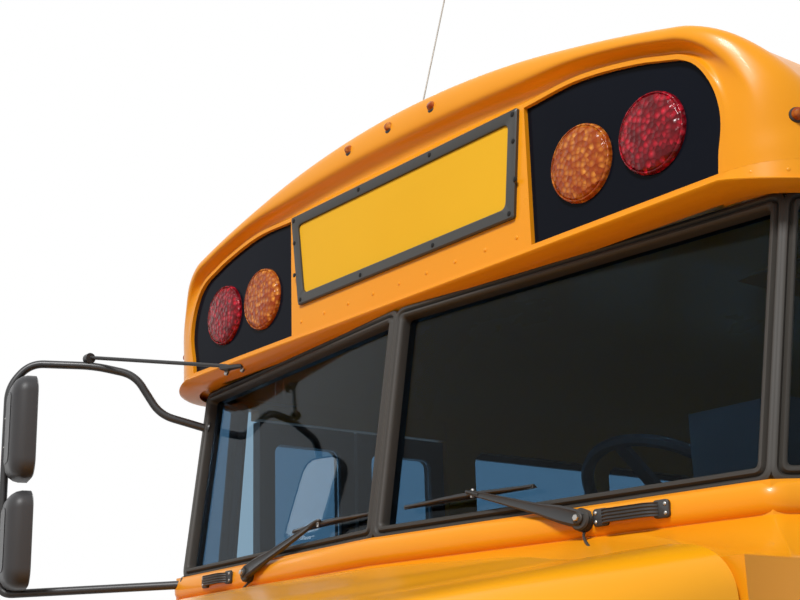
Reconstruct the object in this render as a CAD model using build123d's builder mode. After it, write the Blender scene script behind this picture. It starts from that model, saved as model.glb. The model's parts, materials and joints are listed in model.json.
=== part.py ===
from build123d import *
import os
from math import atan, cos, degrees, hypot, radians, sin, sqrt, tan

# A full-size school bus with a hood, in millimetres.
# +Z is up, the front faces -Y and the driver sits on the +X side.
# The origin is on the ground, under the middle of the whole bus.

# Overall sizes
OVERALL_LENGTH = 10900
BODY_WIDTH = 2438
CROWN_HEIGHT = 3070
FRONT_OVERHANG = 1040
WHEELBASE = 6450
CAP_FACE_SETBACK = 2100
REAR_BUMPER_DEPTH = 150
SKIRT_HEIGHT = 520

# Body section across the bus
ROOF_RADIUS = 3500
CORNER_RADIUS = 350
WALL = 50
ROOF_THICKNESS = 45
FLOOR_HEIGHT = 1000
FLOOR_THICKNESS = 40
SILL_BEAM_HEIGHT = 66
SEAT = 0.3

# Windshield, given from the lamp face and the lamp centres of the front cap
LAMP_HEIGHT = 2740
WINDSHIELD_BOTTOM = -770
WINDSHIELD_TOP = -190
WINDSHIELD_CENTRE_Y = -110
WINDSHIELD_HALF_BOTTOM = 1075
WINDSHIELD_HALF_TOP = 1105
WINDSHIELD_SWEEP = 0.0977
CORNER_SWEEP = 1.528
RAKE_DEPTH = 95
FRAME_THICKNESS = 45
FRAME_END = 320
PANE_MARGIN = 40
GLASS = 6

# Front cap
CAP_PROUD = 20
CAP_DEPTH = 440
CAP_SHELL = 40
CAP_CORNER = 190
CAP_EASE = 6
BRIM_RADIUS = 50
VISOR_BOTTOM = -165
VISOR_THICKNESS = 25
LAMP_DIAMETER = 178
LAMP_THICKNESS = 18
AMBER_X = 650
RED_X = 859
PANEL_DEPTH = 20
SIGN_TOP_HALF = 473
SIGN_BOTTOM_HALF = 442
SIGN_TOP = 195
SIGN_BOTTOM = -71
SIGN_THICKNESS = 12
MARKER_SPACING = 180
MARKER_LENGTH = 60

# Side windows
WINDOW_PITCH = 711
WINDOW_GAP = 76
WINDOW_SILL = 1800
WINDOW_HEAD = 2480
WINDOW_CORNER = 50
WINDOW_COUNT = 10
DRIVER_WINDOW_WIDTH = 640

# Entrance
DOOR_WIDTH = 800
DOOR_HEAD = 2500
DOOR_BOTTOM = 400
DOOR_THICKNESS = 40
DOOR_GAP = 6
DOOR_FRAME = 60
STEP_RISE = 290
STEP_DEPTH = 280
STEP_PLATE = 20

# Rear door
REAR_DOOR_WIDTH = 960
REAR_DOOR_BOTTOM = 990
REAR_DOOR_TOP = 2440
REAR_WALL = 60
REAR_EDGE_RADIUS = 60
REAR_WINDOW = (560, 1120, 1500, 2400)

# Wheels
TYRE_RADIUS = 505
TYRE_WIDTH = 275
RIM_RADIUS = 286
TYRE_SIDES = 27
TREAD_GROOVES = (-45, 45)
GROOVE_WIDTH = 14
GROOVE_DEPTH = 14
BEAD_HALF = 96
TREAD_EASE = 50
SHOULDER_EASE = 20
TREAD_DROP = 8
WALL_DROP = 55
WALL_DISH = 95
FRONT_TRACK_HALF = 1010
KINGPIN_X = 860
REAR_OUTER_X = 1062
DUAL_SPACING = 325
ARCH_RADIUS = 615
SPINDLE_RADIUS = 45
REAR_SPINDLE_RADIUS = 60
RUNNING_FIT = 0.08
TIE_ROD_RADIUS = 18
STEER_ARM = 180

# Chassis
RAIL_X = 430
RAIL_WIDTH = 75
RAIL_HEIGHT = 254
RAIL_WALL = 12
SPRING_X = 508
SPRING_WIDTH = 70
SPRING_SPAN = 1400
SPRING_THICKNESS = 60
SPRING_EYE_Z = 690
BUMPER_HEIGHT = 300
BUMPER_BOTTOM = 430
BUMPER_DEPTH = 85

# Hood
HOOD_REAR_GAP = 20
HOOD_WALL = 30
HOOD_TOP_REAR = 1862
HOOD_TOP_FRONT = 1590
HOOD_HALF_REAR = 1190
HOOD_HALF_FRONT = 720
HOOD_SHOULDER = 240
HOOD_CROWN = 40
HOOD_LOW = 795
HOOD_NOSE_RADIUS = 90
FENDER_EDGE = 70
FENDER_SETBACK = 40
FENDER_HALF_WIDTH = 1205
FENDER_INNER_X = 640
FENDER_TOP = 1300
FENDER_REAR_TOP = 1400
FENDER_NOSE_TOP = 1140
ARCH_INNER_X = 560
GRILLE_WIDTH = 900
GRILLE_BOTTOM = 860
GRILLE_TOP = 1400
GRILLE_BARS = 9
HEADLAMP_X = 950
HEADLAMP_Z = 975
HEADLAMP_WIDTH = 330
HEADLAMP_HEIGHT = 200
HEADLAMP_CORNER = 40
HINGE_Y_OFFSET = 120
HINGE_HEIGHT = 700
HINGE_X = 330
HINGE_LUG = 30
HINGE_PIN = 12
HINGE_EYE = 22

# Stop arm
STOP_OFFSET_Y = 560
STOP_Z = 1560
STOP_STANDOFF = 30
STOP_WIDTH = 450
STOP_THICKNESS = 16
STOP_HINGE = 180
STOP_PIN = 6

# Values that follow from the sizes above
FRONT_Y = -OVERALL_LENGTH / 2
REAR_Y = OVERALL_LENGTH / 2
HALF_WIDTH = BODY_WIDTH / 2
AXLE_HEIGHT = TYRE_RADIUS
FRONT_AXLE_Y = FRONT_Y + FRONT_OVERHANG
REAR_AXLE_Y = FRONT_AXLE_Y + WHEELBASE
LAMP_FACE_Y = FRONT_Y + CAP_FACE_SETBACK
CAP_FACE_Y = LAMP_FACE_Y - CAP_PROUD
CAP_REAR_Y = CAP_FACE_Y + CAP_DEPTH
BODY_REAR_Y = REAR_Y - REAR_BUMPER_DEPTH
REAR_WALL_Y = BODY_REAR_Y - REAR_WALL
SIDE_FRONT_Y = LAMP_FACE_Y + FRAME_END
DOOR_FRONT_Y = SIDE_FRONT_Y + DOOR_GAP
DOOR_REAR_Y = DOOR_FRONT_Y + DOOR_WIDTH
ROOF_CENTRE_Z = CROWN_HEIGHT - ROOF_RADIUS
CORNER_CENTRE_X = HALF_WIDTH - CORNER_RADIUS
CORNER_CENTRE_Z = ROOF_CENTRE_Z + sqrt((ROOF_RADIUS - CORNER_RADIUS) ** 2 - CORNER_CENTRE_X**2)
FLOOR_BOTTOM = FLOOR_HEIGHT - FLOOR_THICKNESS
RAIL_TOP = FLOOR_BOTTOM - SILL_BEAM_HEIGHT
RAIL_BOTTOM = RAIL_TOP - RAIL_HEIGHT
SHIELD_BASE_Z = LAMP_HEIGHT + WINDSHIELD_BOTTOM
SHIELD_TOP_Z = LAMP_HEIGHT + WINDSHIELD_TOP
VISOR_Z = LAMP_HEIGHT + VISOR_BOTTOM
WALL_TOP = VISOR_Z
COWL_FRONT_Y = LAMP_FACE_Y - 290
HOOD_REAR_Y = COWL_FRONT_Y - HOOD_REAR_GAP
HOOD_FRONT_Y = FRONT_Y + 170
FENDER_FRONT_Y = HOOD_FRONT_Y + FENDER_SETBACK
HINGE_Y = FRONT_Y + HINGE_Y_OFFSET
INNER_X = HALF_WIDTH - WALL

STOP_X = HALF_WIDTH + STOP_STANDOFF
STOP_Y = SIDE_FRONT_Y + STOP_OFFSET_Y
STOP_HINGE_Y = STOP_Y - STOP_WIDTH / 2 - 55

os.makedirs("parts", exist_ok=True)


def keep(piece, name):
    """Label one finished piece and write it to its own file."""
    piece.label = name
    export_step(piece, f"parts/{name}.step")
    print(f"{name:26s} {len(piece.solids()):3d} solids {piece.volume / 1e6:10.2f} litres")


def section(inset, low):
    """The bus section from a height up to the roof, drawn in by an inset."""
    corner = CORNER_RADIUS - inset
    roof = ROOF_RADIUS - inset
    side = HALF_WIDTH - inset
    reach = ROOF_RADIUS - CORNER_RADIUS
    ux = CORNER_CENTRE_X / reach
    uz = (CORNER_CENTRE_Z - ROOF_CENTRE_Z) / reach
    meet = (roof * ux, ROOF_CENTRE_Z + roof * uz)
    lean = hypot(1 + ux, uz)
    middle = (CORNER_CENTRE_X + corner * (1 + ux) / lean, CORNER_CENTRE_Z + corner * uz / lean)
    crown = (0, ROOF_CENTRE_Z + roof)
    foot = CORNER_CENTRE_Z - CORNER_RADIUS
    with BuildSketch() as sketch:
        with BuildLine():
            Polyline((-side, CORNER_CENTRE_Z), (-side, foot), (side, foot), (side, CORNER_CENTRE_Z))
            ThreePointArc((side, CORNER_CENTRE_Z), middle, meet)
            ThreePointArc(meet, crown, (-meet[0], meet[1]))
            ThreePointArc((-meet[0], meet[1]), (-middle[0], middle[1]), (-side, CORNER_CENTRE_Z))
        make_face()
        with Locations((0, low - CORNER_RADIUS)):
            Rectangle(2 * BODY_WIDTH, 2 * CORNER_RADIUS, mode=Mode.SUBTRACT)
    return sketch.sketch


def front_line(inset, height):
    """Half of the windshield line in plan at a height above its base, from the centre out."""
    share = height / (WINDSHIELD_TOP - WINDSHIELD_BOTTOM)
    half = WINDSHIELD_HALF_BOTTOM + (WINDSHIELD_HALF_TOP - WINDSHIELD_HALF_BOTTOM) * share
    y_centre = LAMP_FACE_Y + WINDSHIELD_CENTRE_Y + RAKE_DEPTH * share
    drop = inset * sqrt(1 + WINDSHIELD_SWEEP**2)
    slant = inset * sqrt(1 + CORNER_SWEEP**2)
    side = HALF_WIDTH - inset
    corner_y = y_centre + half * WINDSHIELD_SWEEP
    along = (drop - slant) / (CORNER_SWEEP - WINDSHIELD_SWEEP)
    corner = (half + along, corner_y + along * WINDSHIELD_SWEEP + drop)
    side_y = corner[1] + (side - corner[0]) * CORNER_SWEEP
    return [(0, y_centre + drop), corner, (side, side_y)]


def front_plan(inset, height, rear_y):
    """Closed plan shape behind the windshield line, back to a given place."""
    right = front_line(inset, height)
    points = right + [(right[-1][0], rear_y)]
    left = [(-x, y) for x, y in reversed(points[1:])]
    with BuildSketch() as sketch:
        with BuildLine():
            Polyline(*points, *left, close=True)
        make_face()
    return sketch.sketch


def pane_plane(side, corner):
    """Plane on a windshield pane: x across the bus, y up the glass, z outwards."""
    rise = WINDSHIELD_TOP - WINDSHIELD_BOTTOM
    low = [Vector(side * x, y, SHIELD_BASE_Z) for x, y in front_line(0, 0)]
    high = [Vector(side * x, y, SHIELD_BASE_Z + rise) for x, y in front_line(0, rise)]
    first = 1 if corner else 0
    across = (low[first + 1] - low[first]) * side
    up = high[first] - low[first]
    normal = across.cross(up)
    return Plane(origin=low[first], x_dir=across, z_dir=normal)


def pane_outline(side, corner, margin):
    """A pane's outline in its own plane, inside the frame by a margin."""
    plane = pane_plane(side, corner)
    rise = WINDSHIELD_TOP - WINDSHIELD_BOTTOM
    first = 1 if corner else 0
    low = [Vector(side * x, y, SHIELD_BASE_Z) for x, y in front_line(0, 0)]
    high = [Vector(side * x, y, SHIELD_BASE_Z + rise) for x, y in front_line(0, rise)]
    corners = [low[first], low[first + 1], high[first + 1], high[first]]
    flat = [plane.to_local_coords(point) for point in corners]
    with BuildSketch() as sketch:
        with BuildLine():
            Polyline(*[(point.X, point.Y) for point in flat], close=True)
        make_face()
        offset(amount=-margin, kind=Kind.INTERSECTION)
        fillet(sketch.vertices(), radius=24)
    return sketch.sketch


def tube(points, radius, bend):
    """A round tube along straight runs with rounded bends."""
    with BuildPart() as made:
        with BuildLine() as path:
            FilletPolyline(*points, radius=bend)
        with BuildSketch(Plane(origin=path.line @ 0, z_dir=path.line % 0)):
            Circle(radius)
        sweep()
    return made.part


def hinge_plate(axis_x, axis_y, low_x, high_x, low_y, high_y, heights, pin):
    """The plate and barrel that a door carries at each of its hinges."""
    with BuildPart() as made:
        for height in heights:
            with Locations(((low_x + high_x) / 2, (low_y + high_y) / 2, height)):
                Box(high_x - low_x, high_y - low_y, HINGE_TALL)
            with Locations((axis_x, axis_y, height)):
                Cylinder(pin + 4, HINGE_TALL)
                Cylinder(pin + RUNNING_FIT, HINGE_TALL, mode=Mode.SUBTRACT)
    return made.part


def hinge_lugs(axis_x, axis_y, low_x, high_x, low_y, high_y, heights, pin):
    """The lugs above and below each barrel, with the pin between them."""
    with BuildPart() as made:
        for height in heights:
            for end in (-1, 1):
                with Locations((
                    (low_x + high_x) / 2, (low_y + high_y) / 2, height + end * (HINGE_TALL / 2 + 1 + HINGE_EAR / 2)
                )):
                    Box(high_x - low_x, high_y - low_y, HINGE_EAR)
                with Locations((axis_x, axis_y, height + end * (HINGE_TALL / 2 + 1 + HINGE_EAR / 2))):
                    Cylinder(pin + 4, HINGE_EAR)
            with Locations((axis_x, axis_y, height)):
                Cylinder(pin, HINGE_TALL + 2 + HINGE_EAR)
    return made.part


# Door hinges: barrels on the doors and lugs on the body, both outside the skin
HINGE_TALL = 70
HINGE_EAR = 14
DOOR_PIN = 5
HINGE_OUT = 12
entrance_hinges_z = (815, 1560)
rear_hinges_z = (1120, 1715, 2310)
ENTRANCE_HINGE_X = -HALF_WIDTH - HINGE_OUT
REAR_HINGE_X = -REAR_DOOR_WIDTH / 2 - DOOR_GAP / 2
REAR_HINGE_Y = BODY_REAR_Y + HINGE_OUT

# Side windows: name, first edge, count, pitch, opening width
WINDOW_WIDTH = WINDOW_PITCH - WINDOW_GAP
WINDOW_START_Y = DOOR_REAR_Y + 140
DRIVER_WINDOW_Y = SIDE_FRONT_Y + 90
window_rows = {
    "left": [(WINDOW_START_Y + i * WINDOW_PITCH, WINDOW_WIDTH) for i in range(WINDOW_COUNT)]
    + [(DRIVER_WINDOW_Y, DRIVER_WINDOW_WIDTH)],
    "right": [(WINDOW_START_Y + i * WINDOW_PITCH, WINDOW_WIDTH) for i in range(WINDOW_COUNT)],
}
WINDOW_HEIGHT = WINDOW_HEAD - WINDOW_SILL
WINDOW_MID_Z = (WINDOW_HEAD + WINDOW_SILL) / 2
sides = {"left": 1, "right": -1}

# Roof shell with a curb round each hatch opening
HATCH = 640
HATCH_LIFT = 5
HATCH_Y = (CAP_REAR_Y + 1700, REAR_WALL_Y - 1900)
HATCH_HINGE_X = (-180, 180)
HATCH_BARREL = 60
HATCH_EAR = 12
HATCH_PIN_BACK = HATCH / 2 + 30 + 15
HATCH_PIN_Z = CROWN_HEIGHT + HATCH_LIFT + 14
with BuildPart() as roof:
    with BuildSketch(Plane.XZ.offset(-REAR_WALL_Y)):
        add(section(0, WALL_TOP))
        add(section(ROOF_THICKNESS, WALL_TOP), mode=Mode.SUBTRACT)
    extrude(amount=REAR_WALL_Y - CAP_REAR_Y)
    for hatch_y in HATCH_Y:
        with Locations((0, hatch_y, CROWN_HEIGHT + HATCH_LIFT - SEAT - 30)):
            Box(HATCH + 50, HATCH + 50, 60)
        with Locations((0, hatch_y, CROWN_HEIGHT)):
            Box(HATCH, HATCH, 400, mode=Mode.SUBTRACT)
        for hinge_x in HATCH_HINGE_X:
            pin_y = hatch_y - HATCH_PIN_BACK
            for end in (-1, 1):
                ear_x = hinge_x + end * (HATCH_BARREL / 2 + 1 + HATCH_EAR / 2)
                with Locations((ear_x, pin_y, (HATCH_PIN_Z + CROWN_HEIGHT - 20) / 2)):
                    Box(HATCH_EAR, 18, HATCH_PIN_Z - CROWN_HEIGHT + 20)
                with Locations((ear_x, pin_y, HATCH_PIN_Z)):
                    Cylinder(9, HATCH_EAR, rotation=(0, 90, 0))
            with Locations((hinge_x, pin_y, HATCH_PIN_Z)):
                Cylinder(DOOR_PIN, HATCH_BARREL + 2 + HATCH_EAR, rotation=(0, 90, 0))
keep(roof.part, "roof")

# Roof hatches: a domed lid on its raised rim, hinged at the front edge
HATCH_RISE = 45
for name, hatch_y in zip(("front", "rear"), HATCH_Y):
    with BuildPart() as lid:
        with BuildSketch(Plane.XY.offset(CROWN_HEIGHT + HATCH_LIFT)):
            with Locations((0, hatch_y)):
                RectangleRounded(HATCH + 60, HATCH + 60, 60)
        extrude(amount=HATCH_RISE, taper=8)
        with Locations((0, hatch_y, CROWN_HEIGHT + HATCH_LIFT)):
            Box(HATCH - 40, HATCH - 40, 40, mode=Mode.SUBTRACT)
        for hinge_x in HATCH_HINGE_X:
            pin_y = hatch_y - HATCH_PIN_BACK
            with Locations((hinge_x, pin_y + 15, HATCH_PIN_Z)):
                Box(HATCH_BARREL, 30, 10)
            with Locations((hinge_x, pin_y, HATCH_PIN_Z)):
                Cylinder(9, HATCH_BARREL, rotation=(0, 90, 0))
                Cylinder(DOOR_PIN + RUNNING_FIT, HATCH_BARREL, rotation=(0, 90, 0), mode=Mode.SUBTRACT)
    keep(lid.part, f"roof_hatch_{name}")

# Whip antenna: a thin rod leaning back from a round foot, behind the front cap
ANTENNA_X = -607
ANTENNA_Y = CAP_REAR_Y + 50
ANTENNA_LENGTH = 1050
ANTENNA_RADIUS = 2.5
ANTENNA_LEAN = 15.3
ANTENNA_FOOT = 24
ANTENNA_FOOT_HEIGHT = 18
with BuildPart() as antenna:
    foot_dir = Vector(ANTENNA_X / ROOF_RADIUS, 0, sqrt(1 - (ANTENNA_X / ROOF_RADIUS) ** 2))
    foot_point = Vector(0, ANTENNA_Y, ROOF_CENTRE_Z) + foot_dir * (ROOF_RADIUS + SEAT / 3)
    whip_dir = Vector(0, sin(radians(ANTENNA_LEAN)), cos(radians(ANTENNA_LEAN)))
    with BuildSketch(Plane(origin=foot_point, z_dir=foot_dir)):
        Circle(ANTENNA_FOOT)
    extrude(amount=ANTENNA_FOOT_HEIGHT, taper=20)
    with BuildSketch(Plane(origin=foot_point + foot_dir * ANTENNA_FOOT_HEIGHT / 2, z_dir=whip_dir)):
        Circle(ANTENNA_RADIUS)
    extrude(amount=ANTENNA_LENGTH)
keep(antenna.part, "antenna")

# Side walls with their windows and the rear wheel arches
walls = {}
for name, side in sides.items():
    wall_front = SIDE_FRONT_Y if side > 0 else DOOR_REAR_Y + DOOR_GAP
    with BuildPart() as wall:
        with BuildSketch(Plane.YZ.offset(INNER_X if side > 0 else -HALF_WIDTH)):
            middle = (wall_front + REAR_WALL_Y) / 2
            with Locations((middle, (SKIRT_HEIGHT + WALL_TOP) / 2)):
                Rectangle(REAR_WALL_Y - wall_front, WALL_TOP - SKIRT_HEIGHT)
            for first, width in window_rows[name]:
                with Locations((first + width / 2, WINDOW_MID_Z)):
                    RectangleRounded(width, WINDOW_HEIGHT, WINDOW_CORNER, mode=Mode.SUBTRACT)
            with Locations((REAR_AXLE_Y, AXLE_HEIGHT)):
                Circle(ARCH_RADIUS, mode=Mode.SUBTRACT)
        extrude(amount=WALL)
        if side > 0:
            reach = STOP_X + STOP_THICKNESS / 2 + 12 - HALF_WIDTH
            for end in (-1, 1):
                with Locations((HALF_WIDTH + reach / 2, STOP_HINGE_Y, STOP_Z + end * (STOP_HINGE / 2 + 13))):
                    Box(reach, 40, 16)
            with Locations((STOP_X + STOP_THICKNESS / 2, STOP_HINGE_Y, STOP_Z)):
                Cylinder(STOP_PIN, STOP_HINGE + 20)
        else:
            pin_y = DOOR_REAR_Y - DOOR_GAP / 2
            add(hinge_lugs(
                ENTRANCE_HINGE_X, pin_y, ENTRANCE_HINGE_X - DOOR_PIN - 2, -HALF_WIDTH, pin_y,
                wall_front + 40, entrance_hinges_z, DOOR_PIN,
            ))
    walls[name] = wall.part
    keep(wall.part, f"side_wall_{name}")

# Body glass: the panes of the side windows and of the rear wall
with BuildPart() as body_glass:
    for name, side in sides.items():
        with BuildSketch(Plane.YZ.offset(side * (HALF_WIDTH - 22) - GLASS / 2)):
            for first, width in window_rows[name]:
                with Locations((first + width / 2, WINDOW_MID_Z)):
                    RectangleRounded(width - 2 * SEAT, WINDOW_HEIGHT - 2 * SEAT, WINDOW_CORNER - SEAT)
        extrude(amount=GLASS)
    with BuildSketch(Plane.XZ.offset(-(BODY_REAR_Y - 20))):
        for side in (1, -1):
            x_low, x_high, z_low, z_high = REAR_WINDOW
            with Locations((side * (x_low + x_high) / 2, (z_low + z_high) / 2)):
                RectangleRounded(x_high - x_low - 2 * SEAT, z_high - z_low - 2 * SEAT, WINDOW_CORNER - SEAT)
    extrude(amount=GLASS)
keep(body_glass.part, "body_glass")

# Rub rails along both sides, broken at the rear wheel arches
RAIL_PROUD = 18
rub_rails_z = (620, 1010, 1380, 1740)
with BuildPart() as rub_rails:
    for name, side in sides.items():
        wall_front = SIDE_FRONT_Y if side > 0 else DOOR_REAR_Y + DOOR_GAP
        base = HALF_WIDTH if side > 0 else -HALF_WIDTH - RAIL_PROUD
        with BuildSketch(Plane.YZ.offset(base)):
            for height in rub_rails_z:
                with Locations(((wall_front + BODY_REAR_Y - REAR_EDGE_RADIUS) / 2, height)):
                    Rectangle(BODY_REAR_Y - REAR_EDGE_RADIUS - wall_front, 76)
            with Locations((REAR_AXLE_Y, AXLE_HEIGHT)):
                Circle(ARCH_RADIUS + 20, mode=Mode.SUBTRACT)
        extrude(amount=RAIL_PROUD)
keep(rub_rails.part, "rub_rails")

# Front cap: the roof's section rounded in plan, hollow from behind, with its visor
with BuildPart() as front_cap:
    with BuildSketch(Plane.XZ.offset(-CAP_REAR_Y)):
        add(section(0, VISOR_Z))
    extrude(amount=CAP_DEPTH)
    with BuildSketch(Plane.XY.offset(VISOR_Z - 10)) as cap_plan:
        with Locations((0, (CAP_FACE_Y + CAP_REAR_Y) / 2 + CAP_CORNER)):
            RectangleRounded(BODY_WIDTH + CAP_EASE, CAP_DEPTH + 2 * CAP_CORNER, CAP_CORNER)
    extrude(amount=CROWN_HEIGHT - VISOR_Z + 20, mode=Mode.INTERSECT)
    face_edges = front_cap.edges().filter_by(
        lambda edge: edge.center().Z > LAMP_HEIGHT and edge.center().Y < CAP_FACE_Y + CAP_CORNER
        and edge.bounding_box().size.X > 100
    )
    fillet(face_edges, radius=BRIM_RADIUS)
    with BuildSketch(Plane.XZ.offset(-CAP_REAR_Y)):
        add(section(CAP_SHELL, VISOR_Z + VISOR_THICKNESS))
    extrude(amount=CAP_DEPTH - CAP_CORNER, mode=Mode.SUBTRACT)
    panel_points = [
        (483, 200), (483, -147), (1026, -161), (1030, -100), (1020, 50), (950, 131), (845, 175), (660, 205),
    ]
    for side in (1, -1):
        with BuildSketch(Plane.XZ.offset(-CAP_FACE_Y)):
            with BuildLine():
                Polyline(*[(side * x, LAMP_HEIGHT + z) for x, z in panel_points], close=True)
            make_face()
        extrude(amount=-PANEL_DEPTH, mode=Mode.SUBTRACT)
keep(front_cap.part, "front_cap")

# Windshield frame: a shell between two plan lines, pierced by four panes, with the door header
rise = SHIELD_TOP_Z - SHIELD_BASE_Z
with BuildPart() as windshield_frame:
    with BuildSketch(Plane.XY.offset(SHIELD_BASE_Z)):
        add(front_plan(0, 0, SIDE_FRONT_Y))
    with BuildSketch(Plane.XY.offset(SHIELD_TOP_Z)):
        add(front_plan(0, rise, SIDE_FRONT_Y))
    loft(ruled=True)
    with BuildSketch(Plane.XY.offset(SHIELD_BASE_Z)):
        add(front_plan(FRAME_THICKNESS, 0, SIDE_FRONT_Y))
    with BuildSketch(Plane.XY.offset(SHIELD_TOP_Z)):
        add(front_plan(FRAME_THICKNESS, rise, SIDE_FRONT_Y))
    loft(ruled=True, mode=Mode.SUBTRACT)
    for side in (1, -1):
        for corner in (False, True):
            with BuildSketch(pane_plane(side, corner)):
                add(pane_outline(side, corner, PANE_MARGIN))
            extrude(amount=FRAME_THICKNESS * 2, both=True, mode=Mode.SUBTRACT)
    header_end = DOOR_REAR_Y + DOOR_GAP
    with Locations((WALL / 2 - HALF_WIDTH, (SIDE_FRONT_Y + header_end) / 2, (DOOR_HEAD + DOOR_GAP + WALL_TOP) / 2)):
        Box(WALL, header_end - SIDE_FRONT_Y, WALL_TOP - DOOR_HEAD - DOOR_GAP)
keep(windshield_frame.part, "windshield_frame")

# Windshield glass: two flat front panes and two corner panes
with BuildPart() as windshield_glass:
    for side in (1, -1):
        for corner in (False, True):
            plane = pane_plane(side, corner)
            with BuildSketch(plane.offset(-18 - GLASS)):
                add(pane_outline(side, corner, PANE_MARGIN + SEAT))
            extrude(amount=GLASS)
keep(windshield_glass.part, "windshield_glass")

# Rubber gasket round every windshield pane
GASKET_WIDTH = 26
GASKET_PROUD = 10
with BuildPart() as windshield_gasket:
    for side in (1, -1):
        for corner in (False, True):
            with BuildSketch(pane_plane(side, corner)):
                add(pane_outline(side, corner, PANE_MARGIN - GASKET_WIDTH / 2))
                add(pane_outline(side, corner, PANE_MARGIN + GASKET_WIDTH / 2), mode=Mode.SUBTRACT)
            extrude(amount=GASKET_PROUD)
keep(windshield_gasket.part, "windshield_gasket")

# Wiper sizes, by the pane's own plane: a pivot below its lower edge, arm, blade and parked lean
WIPER_PIVOTS = {"left": 660, "right": 580}
WIPER_ARM = 345
WIPER_BLADE = 400
WIPER_ANGLE = 17
WIPER_DROP = 36
WIPER_BASE = 28
WIPER_BOSS = 18
WIPER_SPINDLE = 6


def wiper_pivot(name):
    """A wiper's pivot in the plane of its pane."""
    return (sides[name] * WIPER_PIVOTS[name] * sqrt(1 + WINDSHIELD_SWEEP**2), -WIPER_DROP)


# Cowl: a band under the windshield, a sloping ledge and the firewall with its cheeks
LEDGE_Z = HOOD_TOP_REAR - 12
BAND_BOTTOM = SHIELD_BASE_Z - 65
BAND_PROUD = 22
with BuildPart() as cowl:
    with BuildSketch(Plane.XY.offset(BAND_BOTTOM)):
        add(front_plan(-BAND_PROUD, 0, SIDE_FRONT_Y))
    extrude(amount=SHIELD_BASE_Z - BAND_BOTTOM)
    with BuildSketch(Plane.XY.offset(BAND_BOTTOM)):
        add(front_plan(-BAND_PROUD, 0, SIDE_FRONT_Y))
    with BuildSketch(Plane.XY.offset(LEDGE_Z - 40)):
        cheek_y = COWL_FRONT_Y
        with Locations((0, (cheek_y + SIDE_FRONT_Y) / 2)):
            Rectangle(BODY_WIDTH, SIDE_FRONT_Y - cheek_y)
    loft(ruled=True)
    with BuildSketch(Plane.XY.offset(SKIRT_HEIGHT)):
        with Locations((0, (COWL_FRONT_Y + SIDE_FRONT_Y) / 2)):
            Rectangle(BODY_WIDTH, SIDE_FRONT_Y - COWL_FRONT_Y)
    extrude(amount=LEDGE_Z - 40 - SKIRT_HEIGHT)
    with BuildSketch(Plane.XY.offset(SKIRT_HEIGHT)):
        add(front_plan(WALL, 0, SIDE_FRONT_Y))
    extrude(amount=SHIELD_BASE_Z - SKIRT_HEIGHT, mode=Mode.SUBTRACT)
    with Locations((0, COWL_FRONT_Y + 60, (SKIRT_HEIGHT + LEDGE_Z - 100) / 2)):
        Box(2 * INNER_X, 200, LEDGE_Z - 100 - SKIRT_HEIGHT, mode=Mode.SUBTRACT)
    with Locations((0, COWL_FRONT_Y, SKIRT_HEIGHT)):
        Box(2 * INNER_X, 2000, 2 * (FLOOR_BOTTOM - SKIRT_HEIGHT), mode=Mode.SUBTRACT)
    with Locations((HALF_WIDTH + 50, LAMP_FACE_Y, SHIELD_BASE_Z), (-HALF_WIDTH - 50, LAMP_FACE_Y, SHIELD_BASE_Z)):
        Box(100, 2000, 1000, mode=Mode.SUBTRACT)
    add(hinge_lugs(
        ENTRANCE_HINGE_X, DOOR_FRONT_Y + DOOR_GAP / 2, ENTRANCE_HINGE_X - DOOR_PIN - 2, -HALF_WIDTH,
        SIDE_FRONT_Y - 40, DOOR_FRONT_Y + DOOR_GAP / 2, entrance_hinges_z, DOOR_PIN,
    ))
    for name, side in sides.items():
        with BuildSketch(pane_plane(side, False).offset(-5)):
            with Locations(wiper_pivot(name)):
                Circle(WIPER_BOSS)
        extrude(amount=WIPER_BASE + 5 - 1)
        with BuildSketch(pane_plane(side, False)):
            with Locations(wiper_pivot(name)):
                Circle(WIPER_SPINDLE + RUNNING_FIT)
        extrude(amount=WIPER_BASE, mode=Mode.SUBTRACT)
keep(cowl.part, "cowl")

# Rear wall: the same section as the roof, with the door opening and two windows
with BuildPart() as rear_wall:
    with BuildSketch(Plane.XZ.offset(-BODY_REAR_Y)):
        add(section(0, LAMP_HEIGHT - CORNER_RADIUS))
        low_middle = (SKIRT_HEIGHT + LAMP_HEIGHT - CORNER_RADIUS) / 2
        with Locations((0, low_middle)):
            Rectangle(BODY_WIDTH, LAMP_HEIGHT - CORNER_RADIUS - SKIRT_HEIGHT)
    extrude(amount=REAR_WALL)
    outer = rear_wall.faces().sort_by(Axis.Y)[-1]
    rim = outer.edges().filter_by(lambda edge: edge.center().Z > SKIRT_HEIGHT + 1)
    fillet(rim, radius=REAR_EDGE_RADIUS - 10)
    door_middle = (REAR_DOOR_BOTTOM + REAR_DOOR_TOP) / 2
    with BuildSketch(Plane.XZ.offset(-BODY_REAR_Y)):
        with Locations((0, door_middle)):
            Rectangle(REAR_DOOR_WIDTH + 2 * DOOR_GAP, REAR_DOOR_TOP - REAR_DOOR_BOTTOM + 2 * DOOR_GAP)
        for side in (1, -1):
            x_low, x_high, z_low, z_high = REAR_WINDOW
            with Locations((side * (x_low + x_high) / 2, (z_low + z_high) / 2)):
                RectangleRounded(x_high - x_low, z_high - z_low, WINDOW_CORNER)
    extrude(amount=REAR_WALL, mode=Mode.SUBTRACT)
    add(hinge_lugs(
        REAR_HINGE_X, REAR_HINGE_Y, REAR_HINGE_X - 45, REAR_HINGE_X, BODY_REAR_Y,
        REAR_HINGE_Y + DOOR_PIN + 2, rear_hinges_z, DOOR_PIN,
    ))
keep(rear_wall.part, "rear_wall")

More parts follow.
